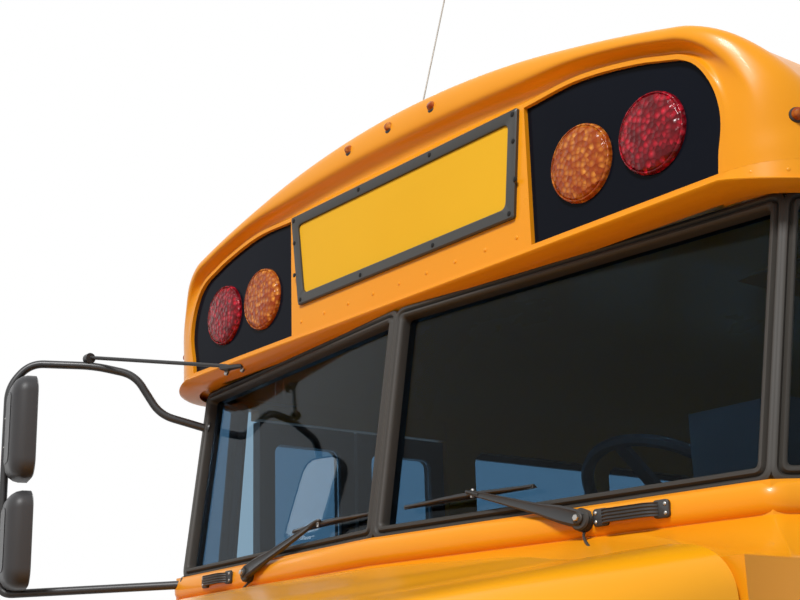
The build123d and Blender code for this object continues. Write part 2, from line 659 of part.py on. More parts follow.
# Rear emergency door, hinged on the right, with an upper and a lower window
REAR_DOOR_PANES = ((1820, 2340), (1180, 1620))
REAR_PANE_WIDTH = 700
with BuildPart() as rear_door:
    with BuildSketch(Plane.XZ.offset(-(BODY_REAR_Y - DOOR_GAP))):
        with Locations((0, door_middle)):
            Rectangle(REAR_DOOR_WIDTH, REAR_DOOR_TOP - REAR_DOOR_BOTTOM)
        for z_low, z_high in REAR_DOOR_PANES:
            with Locations((0, (z_low + z_high) / 2)):
                RectangleRounded(REAR_PANE_WIDTH, z_high - z_low, WINDOW_CORNER, mode=Mode.SUBTRACT)
    extrude(amount=DOOR_THICKNESS)
    add(hinge_plate(
        REAR_HINGE_X, REAR_HINGE_Y, REAR_HINGE_X + DOOR_PIN + 1, REAR_HINGE_X + 50,
        BODY_REAR_Y - DOOR_GAP, REAR_HINGE_Y + DOOR_PIN, rear_hinges_z, DOOR_PIN,
    ))
keep(rear_door.part, "rear_door")

with BuildPart() as rear_door_glass:
    with BuildSketch(Plane.XZ.offset(-(BODY_REAR_Y - DOOR_GAP - 15))):
        for z_low, z_high in REAR_DOOR_PANES:
            with Locations((0, (z_low + z_high) / 2)):
                RectangleRounded(REAR_PANE_WIDTH - 2 * SEAT, z_high - z_low - 2 * SEAT, WINDOW_CORNER - SEAT)
    extrude(amount=GLASS)
keep(rear_door_glass.part, "rear_door_glass")

# Floor with its cross sills, the stepwell at the entrance and the rear wheel housings
STEP_OUTER_X = -(HALF_WIDTH - DOOR_THICKNESS - 9)
STEP_INNER_X = STEP_OUTER_X + 2 * STEP_DEPTH
STEP_LOW = FLOOR_HEIGHT - 2 * STEP_RISE
HOUSING_INNER_X = 560
HOUSING_WALL = 20
with BuildPart() as floor:
    with BuildSketch(Plane.XY.offset(FLOOR_BOTTOM)):
        add(front_plan(WALL + SEAT, 0, REAR_WALL_Y - SEAT))
    extrude(amount=FLOOR_THICKNESS)
    SILL_FIRST_Y = SIDE_FRONT_Y + 60
    sill_count = int((REAR_WALL_Y - SILL_FIRST_Y) / WINDOW_PITCH) + 1
    for i in range(sill_count):
        with Locations((0, SILL_FIRST_Y + i * WINDOW_PITCH + 25, FLOOR_BOTTOM - SILL_BEAM_HEIGHT / 2)):
            Box(2 * INNER_X - 20, 50, SILL_BEAM_HEIGHT)
    for side in (1, -1):
        plane = Plane.YZ.offset(HOUSING_INNER_X if side > 0 else -INNER_X + SEAT)
        with BuildSketch(plane):
            with Locations((REAR_AXLE_Y, AXLE_HEIGHT)):
                Circle(ARCH_RADIUS + HOUSING_WALL)
            with Locations((REAR_AXLE_Y, FLOOR_BOTTOM - 2 * ARCH_RADIUS)):
                Rectangle(4 * ARCH_RADIUS, 4 * ARCH_RADIUS, mode=Mode.SUBTRACT)
        extrude(amount=INNER_X - HOUSING_INNER_X - SEAT)
        with BuildSketch(plane.offset(-HOUSING_WALL if side < 0 else HOUSING_WALL)):
            with Locations((REAR_AXLE_Y, AXLE_HEIGHT)):
                Circle(ARCH_RADIUS)
        extrude(amount=INNER_X - HOUSING_INNER_X, mode=Mode.SUBTRACT)
    step_middle_y = (DOOR_FRONT_Y + DOOR_REAR_Y) / 2
    with Locations((STEP_OUTER_X + STEP_DEPTH - 50, step_middle_y, FLOOR_HEIGHT - 60)):
        Box(2 * STEP_DEPTH + 100, DOOR_WIDTH, 200, mode=Mode.SUBTRACT)
    with BuildSketch(Plane.XZ.offset(-DOOR_REAR_Y)):
        with BuildLine():
            Polyline(
                (STEP_OUTER_X, STEP_LOW),
                (STEP_OUTER_X + STEP_DEPTH, STEP_LOW),
                (STEP_OUTER_X + STEP_DEPTH, STEP_LOW + STEP_RISE),
                (STEP_INNER_X, STEP_LOW + STEP_RISE),
                (STEP_INNER_X, FLOOR_HEIGHT),
                (STEP_INNER_X + STEP_PLATE, FLOOR_HEIGHT),
                (STEP_INNER_X + STEP_PLATE, STEP_LOW + STEP_RISE - STEP_PLATE),
                (STEP_OUTER_X + STEP_DEPTH + STEP_PLATE, STEP_LOW + STEP_RISE - STEP_PLATE),
                (STEP_OUTER_X + STEP_DEPTH + STEP_PLATE, STEP_LOW - STEP_PLATE),
                (STEP_OUTER_X, STEP_LOW - STEP_PLATE),
                close=True,
            )
        make_face()
    extrude(amount=DOOR_WIDTH)
    for wall_y in (DOOR_FRONT_Y, DOOR_REAR_Y - STEP_PLATE):
        with BuildSketch(Plane.XZ.offset(-(wall_y + STEP_PLATE))):
            with BuildLine():
                Polyline(
                    (STEP_OUTER_X, STEP_LOW - STEP_PLATE),
                    (STEP_OUTER_X + STEP_DEPTH + STEP_PLATE, STEP_LOW - STEP_PLATE),
                    (STEP_OUTER_X + STEP_DEPTH + STEP_PLATE, STEP_LOW + STEP_RISE - STEP_PLATE),
                    (STEP_INNER_X + STEP_PLATE, STEP_LOW + STEP_RISE - STEP_PLATE),
                    (STEP_INNER_X + STEP_PLATE, FLOOR_HEIGHT),
                    (STEP_OUTER_X, FLOOR_HEIGHT),
                    close=True,
                )
            make_face()
        extrude(amount=STEP_PLATE)
keep(floor.part, "floor")

# Entrance door: two leaves hinged at their outer edges, each with two panes
LEAF_CENTRE_GAP = 14
LEAF_WIDTH = (DOOR_WIDTH - 2 * DOOR_GAP - LEAF_CENTRE_GAP) / 2
LEAF_PANES = ((520, 1150), (1230, 2430))
leaf_first_y = {"front": DOOR_FRONT_Y + DOOR_GAP, "rear": DOOR_REAR_Y - DOOR_GAP - LEAF_WIDTH}
for name, first in leaf_first_y.items():
    with BuildPart() as leaf:
        with BuildSketch(Plane.YZ.offset(-HALF_WIDTH)):
            with Locations((first + LEAF_WIDTH / 2, (DOOR_BOTTOM + DOOR_HEAD) / 2)):
                Rectangle(LEAF_WIDTH, DOOR_HEAD - DOOR_BOTTOM)
            for z_low, z_high in LEAF_PANES:
                with Locations((first + LEAF_WIDTH / 2, (z_low + z_high) / 2)):
                    RectangleRounded(LEAF_WIDTH - 2 * DOOR_FRAME, z_high - z_low, 30, mode=Mode.SUBTRACT)
        extrude(amount=DOOR_THICKNESS)
        turn = 1 if name == "front" else -1
        hinge_y = first - DOOR_GAP / 2 if name == "front" else first + LEAF_WIDTH + DOOR_GAP / 2
        plate_y = sorted((hinge_y + turn * (DOOR_PIN + 1), hinge_y + turn * 50))
        add(hinge_plate(
            ENTRANCE_HINGE_X, hinge_y, ENTRANCE_HINGE_X - DOOR_PIN, -HALF_WIDTH,
            plate_y[0], plate_y[1], entrance_hinges_z, DOOR_PIN,
        ))
    keep(leaf.part, f"door_leaf_{name}")
    with BuildPart() as leaf_glass:
        with BuildSketch(Plane.YZ.offset(-HALF_WIDTH + DOOR_THICKNESS / 2)):
            for z_low, z_high in LEAF_PANES:
                with Locations((first + LEAF_WIDTH / 2, (z_low + z_high) / 2)):
                    width = LEAF_WIDTH - 2 * DOOR_FRAME - 2 * SEAT
                    RectangleRounded(width, z_high - z_low - 2 * SEAT, 30 - SEAT)
        extrude(amount=GLASS)
    keep(leaf_glass.part, f"door_glass_{name}")

# Warning lamps: round lenses in the front cap's panels, and the same pairs on the rear wall
REAR_LAMP_HEIGHT = 2690
for name, x_front in (("amber", AMBER_X), ("red", RED_X)):
    with BuildPart() as lamps:
        for side in (1, -1):
            with BuildSketch(Plane.XZ.offset(-LAMP_FACE_Y)):
                with Locations((side * x_front, LAMP_HEIGHT)):
                    Circle(LAMP_DIAMETER / 2)
            extrude(amount=LAMP_THICKNESS)
            with BuildSketch(Plane.XZ.offset(-BODY_REAR_Y)):
                with Locations((side * x_front, REAR_LAMP_HEIGHT)):
                    Circle(LAMP_DIAMETER / 2)
                if name == "red":
                    with Locations((side * 900, 1290)):
                        Circle(LAMP_DIAMETER / 2)
                else:
                    with Locations((side * 900, 1060)):
                        Circle(LAMP_DIAMETER / 2)
            extrude(amount=-LAMP_THICKNESS)
        front_lenses = lamps.faces().sort_by(Axis.Y)
        chamfer((front_lenses[0].edges() + front_lenses[1].edges()), length=4)
        if name == "amber":
            for i in (-1, 0, 1):
                with Locations((i * MARKER_SPACING, CAP_FACE_Y + 20, CROWN_HEIGHT - 22)):
                    Box(MARKER_LENGTH, 56, 40)
            add(front_cap.part, mode=Mode.SUBTRACT)
            inner = [solid for solid in lamps.solids() if solid.center().Y > CAP_FACE_Y + 60
                     and solid.center().Y < BODY_REAR_Y - 100]
            for solid in inner:
                add(solid, mode=Mode.SUBTRACT)
    keep(lamps.part, f"{name}_lamps")

# Sign boards: a blank panel in a raised frame, at the front and over the rear door
def sign_outline(margin):
    """The sign's shape, wider at its top, drawn in by a margin."""
    with BuildSketch() as sketch:
        with BuildLine():
            Polyline(
                (-SIGN_BOTTOM_HALF, SIGN_BOTTOM),
                (SIGN_BOTTOM_HALF, SIGN_BOTTOM),
                (SIGN_TOP_HALF, SIGN_TOP),
                (-SIGN_TOP_HALF, SIGN_TOP),
                close=True,
            )
        make_face()
        if margin:
            offset(amount=-margin, kind=Kind.INTERSECTION)
            fillet(sketch.vertices(), radius=margin)
    return sketch.sketch


SIGN_FRAME = 34
REAR_SIGN_Z = 2700 - (SIGN_TOP + SIGN_BOTTOM) / 2
with BuildPart() as sign_boards:
    with BuildSketch(Plane.XZ.offset(-CAP_FACE_Y)):
        with Locations((0, LAMP_HEIGHT)):
            add(sign_outline(0))
    extrude(amount=SIGN_THICKNESS)
    with BuildSketch(Plane.XZ.offset(-CAP_FACE_Y + SIGN_THICKNESS)):
        with Locations((0, LAMP_HEIGHT)):
            add(sign_outline(SIGN_FRAME))
    extrude(amount=-SIGN_THICKNESS / 2, mode=Mode.SUBTRACT)
    with BuildSketch(Plane.XZ.offset(-BODY_REAR_Y)):
        with Locations((0, REAR_SIGN_Z)):
            add(sign_outline(0))
    extrude(amount=-SIGN_THICKNESS)
    with BuildSketch(Plane.XZ.offset(-BODY_REAR_Y - SIGN_THICKNESS)):
        with Locations((0, REAR_SIGN_Z)):
            add(sign_outline(SIGN_FRAME))
    extrude(amount=SIGN_THICKNESS / 2, mode=Mode.SUBTRACT)
keep(sign_boards.part, "sign_boards")

# Mirror heads: height of the centre by the lamp centres, and height of the head
HEAD_WIDTH = 200
HEAD_DEPTH = 70
HEAD_INSET = 130
mirror_rows = ((-310, 350), (-620, 240))

# Mirror arms, given from the lamp face and lamp centres: the right one reaches forward, where the
# driver sees it through the windshield, and the left one stands out beside the driver's window
ARM_RADIUS = 12.5
STAY_RADIUS = 6
mirror_places = {"left": (1530, 150), "right": (1450, -430)}
arm_routes = {
    "left": [
        (1205, 365, -300), (1255, 330, -210), (1300, 295, -98), (1485, 172, -94), (1530, 150, -160),
        (1530, 150, -800), (1300, 330, -800), (1205, 365, -800),
    ],
    "right": [
        (1086, 82, -306), (1170, -47, -258), (1220, -112, -128), (1290, -218, -98),
        (1420, -376, -84), (1450, -430, -160), (1450, -430, -800), (1056, -16, -790),
    ],
}
stay_route = [(1300, -232, -70), (790, -26, -172)]


def at_mirror(point, side):
    """A point by the lamp face and lamp height, moved to its place on one side."""
    return (side * point[0], LAMP_FACE_Y + point[1], LAMP_HEIGHT + point[2])


with BuildPart() as mirror_arms:
    for name, side in sides.items():
        tube_x, tube_y = mirror_places[name]
        add(tube([at_mirror(point, side) for point in arm_routes[name]], ARM_RADIUS, 32))
        for height, tall in mirror_rows:
            clamp = HEAD_INSET - HEAD_WIDTH / 2 - SEAT
            with Locations(at_mirror((tube_x - clamp / 2, tube_y + 8, height), side)):
                Box(clamp, 24, 60)
    low, high = [Vector(*at_mirror(point, -1)) for point in stay_route]
    with BuildSketch(Plane(origin=low, z_dir=high - low)):
        Circle(STAY_RADIUS)
    extrude(amount=(high - low).length)
    with Locations(at_mirror((stay_route[1][0] - 5, stay_route[1][1] + 25, VISOR_BOTTOM - 7), -1)):
        Box(70, 60, 16)
    add(windshield_frame.part, mode=Mode.SUBTRACT)
    add(windshield_gasket.part, mode=Mode.SUBTRACT)
    add(windshield_glass.part, mode=Mode.SUBTRACT)
    add(cowl.part, mode=Mode.SUBTRACT)
    add(front_cap.part, mode=Mode.SUBTRACT)
    add(walls["left"], mode=Mode.SUBTRACT)
keep(mirror_arms.part, "mirror_arms")

# Mirror heads inboard of the upright tubes: a flat glass above and a wide-angle glass below
with BuildPart() as mirror_heads:
    for name, side in sides.items():
        tube_x, tube_y = mirror_places[name]
        for height, tall in mirror_rows:
            with Locations(at_mirror((tube_x - HEAD_INSET, tube_y + HEAD_DEPTH / 2, height), side)):
                Box(HEAD_WIDTH, HEAD_DEPTH, tall)
    fillet(mirror_heads.edges().filter_by(Axis.Y), radius=35)
    for side in (1, -1):
        fronts = [face for face in mirror_heads.faces() if face.normal_at().Y < -0.99 and face.center().X * side > 0]
        fillet([edge for face in fronts for edge in face.edges()], radius=25)
keep(mirror_heads.part, "mirror_heads")

# Grab handles on the cowl band outboard of the wipers
HANDLE_X = 800
HANDLE_Z = -812
HANDLE_LENGTH = 190
with BuildPart() as grab_handles:
    for side in (1, -1):
        y_band = WINDSHIELD_CENTRE_Y - BAND_PROUD * sqrt(1 + WINDSHIELD_SWEEP**2) + HANDLE_X * WINDSHIELD_SWEEP
        plane = Plane(
            origin=at_mirror((HANDLE_X, y_band - 0.1, HANDLE_Z), side),
            x_dir=Vector(1, side * WINDSHIELD_SWEEP, 0),
            z_dir=Vector(side * WINDSHIELD_SWEEP, -1, 0),
        )
        with BuildSketch(plane):
            RectangleRounded(HANDLE_LENGTH, 34, 8)
        extrude(amount=14)
        with BuildSketch(plane.offset(14)):
            RectangleRounded(HANDLE_LENGTH - 40, 26, 8)
        extrude(amount=16)
keep(grab_handles.part, "grab_handles")

# Dashboard: a panel under the windshield with the switch pod, and the steering column
WHEEL_CENTRE = (550, LAMP_FACE_Y + 340, 2010)
COLUMN_LEAN = 38
COLUMN_LENGTH = 300
column_dir = Vector(0, sin(radians(COLUMN_LEAN)), cos(radians(COLUMN_LEAN)))
DASH_REAR_Y = LAMP_FACE_Y + 250
DASH_TOP = SHIELD_BASE_Z - 30
with BuildPart() as dashboard:
    with BuildSketch(Plane.XY.offset(1480)):
        add(front_plan(WALL + SEAT, 0, DASH_REAR_Y))
    extrude(amount=DASH_TOP - 1480)
    with Locations((0, DASH_REAR_Y - 290, 1480)):
        Box(BODY_WIDTH, 500, 2 * (DASH_TOP - 1480 - 70), mode=Mode.SUBTRACT)
    with Locations((-HALF_WIDTH, DASH_REAR_Y, 1700)):
        Box(1500, 1000, 1000, mode=Mode.SUBTRACT)
    with Locations((930, DASH_REAR_Y - 100, DASH_TOP + 105)):
        Box(230, 120, 210)
    with BuildSketch(Plane(origin=Vector(*WHEEL_CENTRE) - column_dir * 45, z_dir=-column_dir)):
        Circle(38)
    extrude(amount=COLUMN_LENGTH)
keep(dashboard.part, "dashboard")

# Steering wheel: a rim, three spokes and a hub, square to the column
with BuildPart() as steering_wheel:
    wheel_plane = Plane(origin=Vector(*WHEEL_CENTRE), x_dir=(1, 0, 0), z_dir=column_dir)
    with BuildSketch(Plane(origin=Vector(*WHEEL_CENTRE), x_dir=(1, 0, 0), z_dir=column_dir.cross(Vector(1, 0, 0)))):
        with Locations((215, 0)):
            RegularPolygon(15, 8, rotation=22.5)
    revolve(axis=Axis(Vector(*WHEEL_CENTRE), column_dir))
    with BuildSketch(wheel_plane.offset(-14)):
        Circle(52)
        with PolarLocations(108, 3, start_angle=-90):
            Rectangle(200, 34)
    extrude(amount=14)
    with BuildSketch(wheel_plane.offset(-44.7)):
        Circle(38)
    extrude(amount=44.7)
keep(steering_wheel.part, "steering_wheel")

# Passenger seats: benches on both sides of the aisle, facing forward
SEAT_ROWS = 10
SEAT_FIRST_Y = DOOR_REAR_Y + 420
SEAT_INNER_X = 190
SEAT_OUTER_X = INNER_X - 10
SEAT_HEIGHT = 1440
BACK_TOP = 2040
with BuildPart() as passenger_seats:
    for side in (1, -1):
        for row in range(SEAT_ROWS):
            front = SEAT_FIRST_Y + row * WINDOW_PITCH
            edge = SEAT_INNER_X if side > 0 else -SEAT_OUTER_X
            with BuildSketch(Plane.YZ.offset(edge)):
                with BuildLine():
                    Polyline(
                        (front, SEAT_HEIGHT - 110),
                        (front + 470, SEAT_HEIGHT - 130),
                        (front + 545, BACK_TOP),
                        (front + 465, BACK_TOP),
                        (front + 400, SEAT_HEIGHT),
                        (front, SEAT_HEIGHT),
                        close=True,
                    )
                make_face()
            extrude(amount=SEAT_OUTER_X - SEAT_INNER_X)
            for leg_x in (SEAT_INNER_X + 80, SEAT_OUTER_X - 60):
                with Locations((side * leg_x, front + 200, (FLOOR_HEIGHT + SEAT_HEIGHT - 110) / 2)):
                    Box(30, 300, SEAT_HEIGHT - 110 - FLOOR_HEIGHT)
        with BuildSketch(Plane.YZ.offset(HOUSING_INNER_X if side > 0 else -INNER_X)):
            with Locations((REAR_AXLE_Y, AXLE_HEIGHT)):
                Circle(ARCH_RADIUS + HOUSING_WALL + SEAT)
        extrude(amount=INNER_X - HOUSING_INNER_X, mode=Mode.SUBTRACT)
keep(passenger_seats.part, "passenger_seats")

# Driver's seat on its pedestal
with BuildPart() as driver_seat:
    with Locations((WHEEL_CENTRE[0], WHEEL_CENTRE[1] + 500, (FLOOR_HEIGHT + 1400) / 2)):
        Box(320, 360, 1400 - FLOOR_HEIGHT)
    with BuildSketch(Plane.YZ.offset(WHEEL_CENTRE[0] - 250)):
        first = WHEEL_CENTRE[1] + 260
        with BuildLine():
            Polyline(
                (first, 1400), (first + 520, 1390), (first + 640, 2250),
                (first + 520, 2250), (first + 430, 1510), (first, 1520), close=True,
            )
        make_face()
    extrude(amount=500)
keep(driver_seat.part, "driver_seat")


def hood_section(inset, share, shrink=0):
    """The hood's section across the bus, from the rear at 0 to the nose at 1."""
    half = HOOD_HALF_REAR + (HOOD_HALF_FRONT - HOOD_HALF_REAR) * share - inset - shrink
    top = HOOD_TOP_REAR + (HOOD_TOP_FRONT - HOOD_TOP_REAR) * share - inset - shrink
    low = HOOD_LOW - (200 if inset else 0)
    radius = HOOD_SHOULDER - inset - shrink
    shoulder = (half - radius, top - HOOD_CROWN)
    bend = radius * sqrt(0.5)
    with BuildSketch() as sketch:
        with BuildLine():
            Polyline((-half, shoulder[1] - radius), (-half, low), (half, low), (half, shoulder[1] - radius))
            ThreePointArc(
                (half, shoulder[1] - radius), (shoulder[0] + bend, shoulder[1] - radius + bend), shoulder
            )
            ThreePointArc(shoulder, (0, top), (-shoulder[0], shoulder[1]))
            ThreePointArc(
                (-shoulder[0], shoulder[1]), (-shoulder[0] - bend, shoulder[1] - radius + bend),
                (-half, shoulder[1] - radius),
            )
        make_face()
    return sketch.sketch


def fender_profile(inset):
    """The fender from the side, with its rear and underside left open by the inset one."""
    rear = HOOD_REAR_Y + (100 if inset else 0)
    low = HOOD_LOW - (200 if inset else 0)
    nose = FENDER_FRONT_Y + inset
    with BuildSketch() as sketch:
        with BuildLine():
            Polyline((nose, FENDER_NOSE_TOP - inset), (nose, low), (rear, low), (rear, FENDER_REAR_TOP - inset))
            ThreePointArc(
                (rear, FENDER_REAR_TOP - inset),
                (FRONT_AXLE_Y, FENDER_TOP - inset),
                (nose, FENDER_NOSE_TOP - inset),
            )
        make_face()
        fillet(sketch.vertices().group_by(Axis.X)[0].sort_by(Axis.Y)[-1], radius=90 - inset)
    return sketch.sketch


def hood_nose(inset, rear, front):
    """The hood's tapering top between two places along the bus, its nose eased when drawn at full size."""
    ease = 0 if inset else HOOD_NOSE_RADIUS
    steps = [(rear, 0, 0), (front + ease, 1 - ease / (rear - front), 0)]
    if ease:
        steps += [(front + 0.3 * ease, 1, 0.3 * ease), (front, 1, ease)]
    with BuildPart() as made:
        for place, share, shrink in steps:
            with BuildSketch(Plane.XZ.offset(-place)):
                add(hood_section(inset, share, shrink))
        loft(ruled=True)
    return made.part


def hood_fender(side, inset):
    """One fender as a solid: its side profile drawn across, rounded along its outer edge."""
    inner = FENDER_INNER_X - (60 if inset else 0)
    outer = FENDER_HALF_WIDTH - inset
    with BuildPart() as made:
        with BuildSketch(Plane.YZ.offset(inner if side > 0 else -outer)):
            add(fender_profile(inset))
        extrude(amount=outer - inner)
        rim = made.edges().filter_by(
            lambda edge: abs(edge.center().X - side * outer) < 0.1 and edge.center().Z > HOOD_LOW + 10
            and edge.center().Y < HOOD_REAR_Y - 10
        )
        fillet(rim, radius=FENDER_EDGE - inset)
    return made.part


# Hood: one tilting shell of a tapering nose and two fenders, hinged below its front edge
# Each lug bends back round the bumper's upper edge, given from its pin
hood_lug = [(-5, 21), (16, 41), (16, 95), (54, 135), (80, 135), (80, 85), (50, 40), (20, -9)]
with BuildPart() as hood:
    add(hood_nose(0, HOOD_REAR_Y, HOOD_FRONT_Y))
    for side in (1, -1):
        add(hood_fender(side, 0))
    add(hood_nose(HOOD_WALL, HOOD_REAR_Y + 1, HOOD_FRONT_Y + HOOD_WALL), mode=Mode.SUBTRACT)
    for side in (1, -1):
        add(hood_fender(side, HOOD_WALL), mode=Mode.SUBTRACT)
        arch_from = ARCH_INNER_X if side > 0 else -HALF_WIDTH - 50
        with BuildSketch(Plane.YZ.offset(arch_from)):
            with Locations((FRONT_AXLE_Y, AXLE_HEIGHT)):
                Circle(ARCH_RADIUS)
        extrude(amount=HALF_WIDTH + 50 - ARCH_INNER_X, mode=Mode.SUBTRACT)
    with BuildSketch(Plane.XZ.offset(-HOOD_FRONT_Y + 5)):
        with Locations((0, (GRILLE_BOTTOM + GRILLE_TOP) / 2)):
            Trapezoid(GRILLE_WIDTH, GRILLE_TOP - GRILLE_BOTTOM, 84)
    extrude(amount=-120, mode=Mode.SUBTRACT)
    for side in (1, -1):
        with BuildSketch(Plane.XZ.offset(-FENDER_FRONT_Y + 5)):
            with Locations((side * HEADLAMP_X, HEADLAMP_Z)):
                RectangleRounded(HEADLAMP_WIDTH, HEADLAMP_HEIGHT, HEADLAMP_CORNER)
        extrude(amount=-80, mode=Mode.SUBTRACT)
    for side in (1, -1):
        with BuildSketch(Plane.YZ.offset(side * HINGE_X - HINGE_LUG / 2)):
            with BuildLine():
                Polyline(*[(HINGE_Y + y, HINGE_HEIGHT + z) for y, z in hood_lug], close=True)
            make_face()
            with Locations((HINGE_Y, HINGE_HEIGHT)):
                Circle(HINGE_EYE)
                Circle(HINGE_PIN + RUNNING_FIT, mode=Mode.SUBTRACT)
        extrude(amount=HINGE_LUG)
keep(hood.part, "hood")

# Grille: upright bars in a frame, seated in the hood's nose
with BuildPart() as grille:
    with BuildSketch(Plane.XZ.offset(-HOOD_FRONT_Y - HOOD_WALL + 4)):
        with Locations((0, (GRILLE_BOTTOM + GRILLE_TOP) / 2)):
            Trapezoid(GRILLE_WIDTH - 2 * SEAT, GRILLE_TOP - GRILLE_BOTTOM - 2 * SEAT, 84)
            Trapezoid(GRILLE_WIDTH - 80, GRILLE_TOP - GRILLE_BOTTOM - 80, 84, mode=Mode.SUBTRACT)
    extrude(amount=HOOD_WALL)
    with BuildSketch(Plane.XZ.offset(-HOOD_FRONT_Y - HOOD_WALL + 6)):
        for i in range(GRILLE_BARS):
            height = GRILLE_BOTTOM + (GRILLE_TOP - GRILLE_BOTTOM) * (i + 1) / (GRILLE_BARS + 1)
            lean = (height - GRILLE_BOTTOM) / tan(radians(84))
            with Locations((0, height)):
                Rectangle(GRILLE_WIDTH - 60 - 2 * lean, 26)
    extrude(amount=HOOD_WALL - 12)
keep(grille.part, "grille")

# Headlamps in the fender fronts
with BuildPart() as headlamps:
    with BuildSketch(Plane.XZ.offset(-FENDER_FRONT_Y - HOOD_WALL)):
        for side in (1, -1):
            with Locations((side * HEADLAMP_X, HEADLAMP_Z)):
                RectangleRounded(HEADLAMP_WIDTH - 2 * SEAT, HEADLAMP_HEIGHT - 2 * SEAT, HEADLAMP_CORNER + 4)
    extrude(amount=HOOD_WALL - 2)
keep(headlamps.part, "headlamps")

# Cross-view mirrors: domes on bent tubes from the fender tops
CROSSVIEW = (1060, FRONT_Y + 190, 1560)
DOME_RADIUS = 125
DOME_BACK = 50
DOME_TIP = radians(6)
dome_top = (DOME_RADIUS * sin(DOME_TIP), -DOME_RADIUS * cos(DOME_TIP))
dome_mid = (DOME_RADIUS * cos(radians(42)), -DOME_RADIUS * sin(radians(42)))
with BuildPart() as crossview_mirrors:
    for side in (1, -1):
        x, y, z = CROSSVIEW
        with BuildSketch(Plane(origin=(side * x, y, z), x_dir=(1, 0, 0), z_dir=(0, 0, 1))):
            with BuildLine():
                Polyline((0, DOME_BACK), (DOME_RADIUS, DOME_BACK), (DOME_RADIUS, 0))
                ThreePointArc((DOME_RADIUS, 0), dome_mid, dome_top)
                Polyline(dome_top, (0, dome_top[1]), (0, DOME_BACK))
            make_face()
        revolve(axis=Axis((side * x, y, z), (0, 1, 0)))
        with Locations((side * x, y + 54, z)):
            Cylinder(60, 14, rotation=(90, 0, 0))
        add(tube([(side * x, y + 50, z), (side * x, y + 150, z), (side * (x - 10), y + 330, 1150)], 11, 40))
    add(hood.part, mode=Mode.SUBTRACT)
    keepers = [solid for solid in crossview_mirrors.solids() if solid.center().Z < 1220]
    for solid in keepers:
        add(solid, mode=Mode.SUBTRACT)
keep(crossview_mirrors.part, "crossview_mirrors")

# Chassis frame: two channel rails with tapered horns, joined by crossmembers
RAIL_END_Y = REAR_WALL_Y - SEAT
RAIL_START_Y = FRONT_Y + BUMPER_DEPTH + SEAT
MEMBER_HEIGHT = 112
MEMBER_DEPTH = 110
HORN_LENGTH = 260
HORN_CUT = 140
member_rows = [FRONT_Y + 390, -2850, -1850, -850, 150, 1150, 2950, 3900, RAIL_END_Y - MEMBER_DEPTH / 2]
MEMBER_Z = RAIL_TOP - RAIL_WALL - MEMBER_HEIGHT / 2
TOW_EYE_Z = 400
TOW_EYE_RADIUS = 20
TOW_WIDTH = 100
TOW_THICKNESS = 20
TOW_INSET = 90
with BuildPart() as chassis_frame:
    for side in (1, -1):
        with BuildSketch(Plane.XZ.offset(-RAIL_END_Y)):
            with Locations((side * RAIL_X, (RAIL_TOP + RAIL_BOTTOM) / 2)):
                Rectangle(RAIL_WIDTH, RAIL_HEIGHT)
            with Locations((side * (RAIL_X - RAIL_WALL), (RAIL_TOP + RAIL_BOTTOM) / 2)):
                Rectangle(RAIL_WIDTH, RAIL_HEIGHT - 2 * RAIL_WALL, mode=Mode.SUBTRACT)
        extrude(amount=RAIL_END_Y - RAIL_START_Y)
    member_length = 2 * (RAIL_X + RAIL_WIDTH / 2 - RAIL_WALL)
    for member_y in member_rows:
        with Locations((0, member_y, MEMBER_Z)):
            Box(member_length, MEMBER_DEPTH, MEMBER_HEIGHT)
    with BuildSketch(Plane.YZ.offset(-HALF_WIDTH)):
        with BuildLine():
            Polyline(
                (RAIL_START_Y - 10, RAIL_TOP + 10), (RAIL_START_Y - 10, RAIL_TOP - HORN_CUT),
                (RAIL_START_Y + 60, RAIL_TOP - HORN_CUT), (RAIL_START_Y + HORN_LENGTH, RAIL_TOP),
                (RAIL_START_Y + HORN_LENGTH, RAIL_TOP + 10), close=True,
            )
        make_face()
    extrude(amount=BODY_WIDTH, mode=Mode.SUBTRACT)
    for side in (1, -1):
        pin_end = RAIL_X + RAIL_WIDTH / 2 - RAIL_WALL
        with BuildSketch(Plane.YZ.offset(side * pin_end)):
            with Locations((HINGE_Y, HINGE_HEIGHT)):
                Circle(HINGE_PIN)
        extrude(amount=-side * (pin_end - HINGE_X + HINGE_LUG))
    for axle_y in (FRONT_AXLE_Y, REAR_AXLE_Y):
        for end in (-1, 1):
            for side in (1, -1):
                hanger_x = RAIL_X + RAIL_WIDTH / 2
                with Locations((side * (hanger_x + 15), axle_y + end * SPRING_SPAN / 2, SPRING_EYE_Z + 60)):
                    Box(30, 90, 160)
                with Locations((side * (SPRING_X + 2), axle_y + end * SPRING_SPAN / 2, SPRING_EYE_Z + 100)):
                    Box(SPRING_WIDTH + 60, 90, 30)
    for side in (1, -1):
        for end_y in (RAIL_START_Y + TOW_INSET, RAIL_END_Y - TOW_INSET):
            with BuildSketch(Plane.YZ.offset(side * RAIL_X - TOW_THICKNESS / 2)):
                with Locations((end_y, (TOW_EYE_Z + RAIL_BOTTOM + 5) / 2)):
                    Rectangle(TOW_WIDTH, RAIL_BOTTOM + 5 - TOW_EYE_Z)
                with Locations((end_y, TOW_EYE_Z)):
                    Circle(TOW_WIDTH / 2)
                    Circle(TOW_EYE_RADIUS, mode=Mode.SUBTRACT)
            extrude(amount=TOW_THICKNESS)
keep(chassis_frame.part, "chassis_frame")

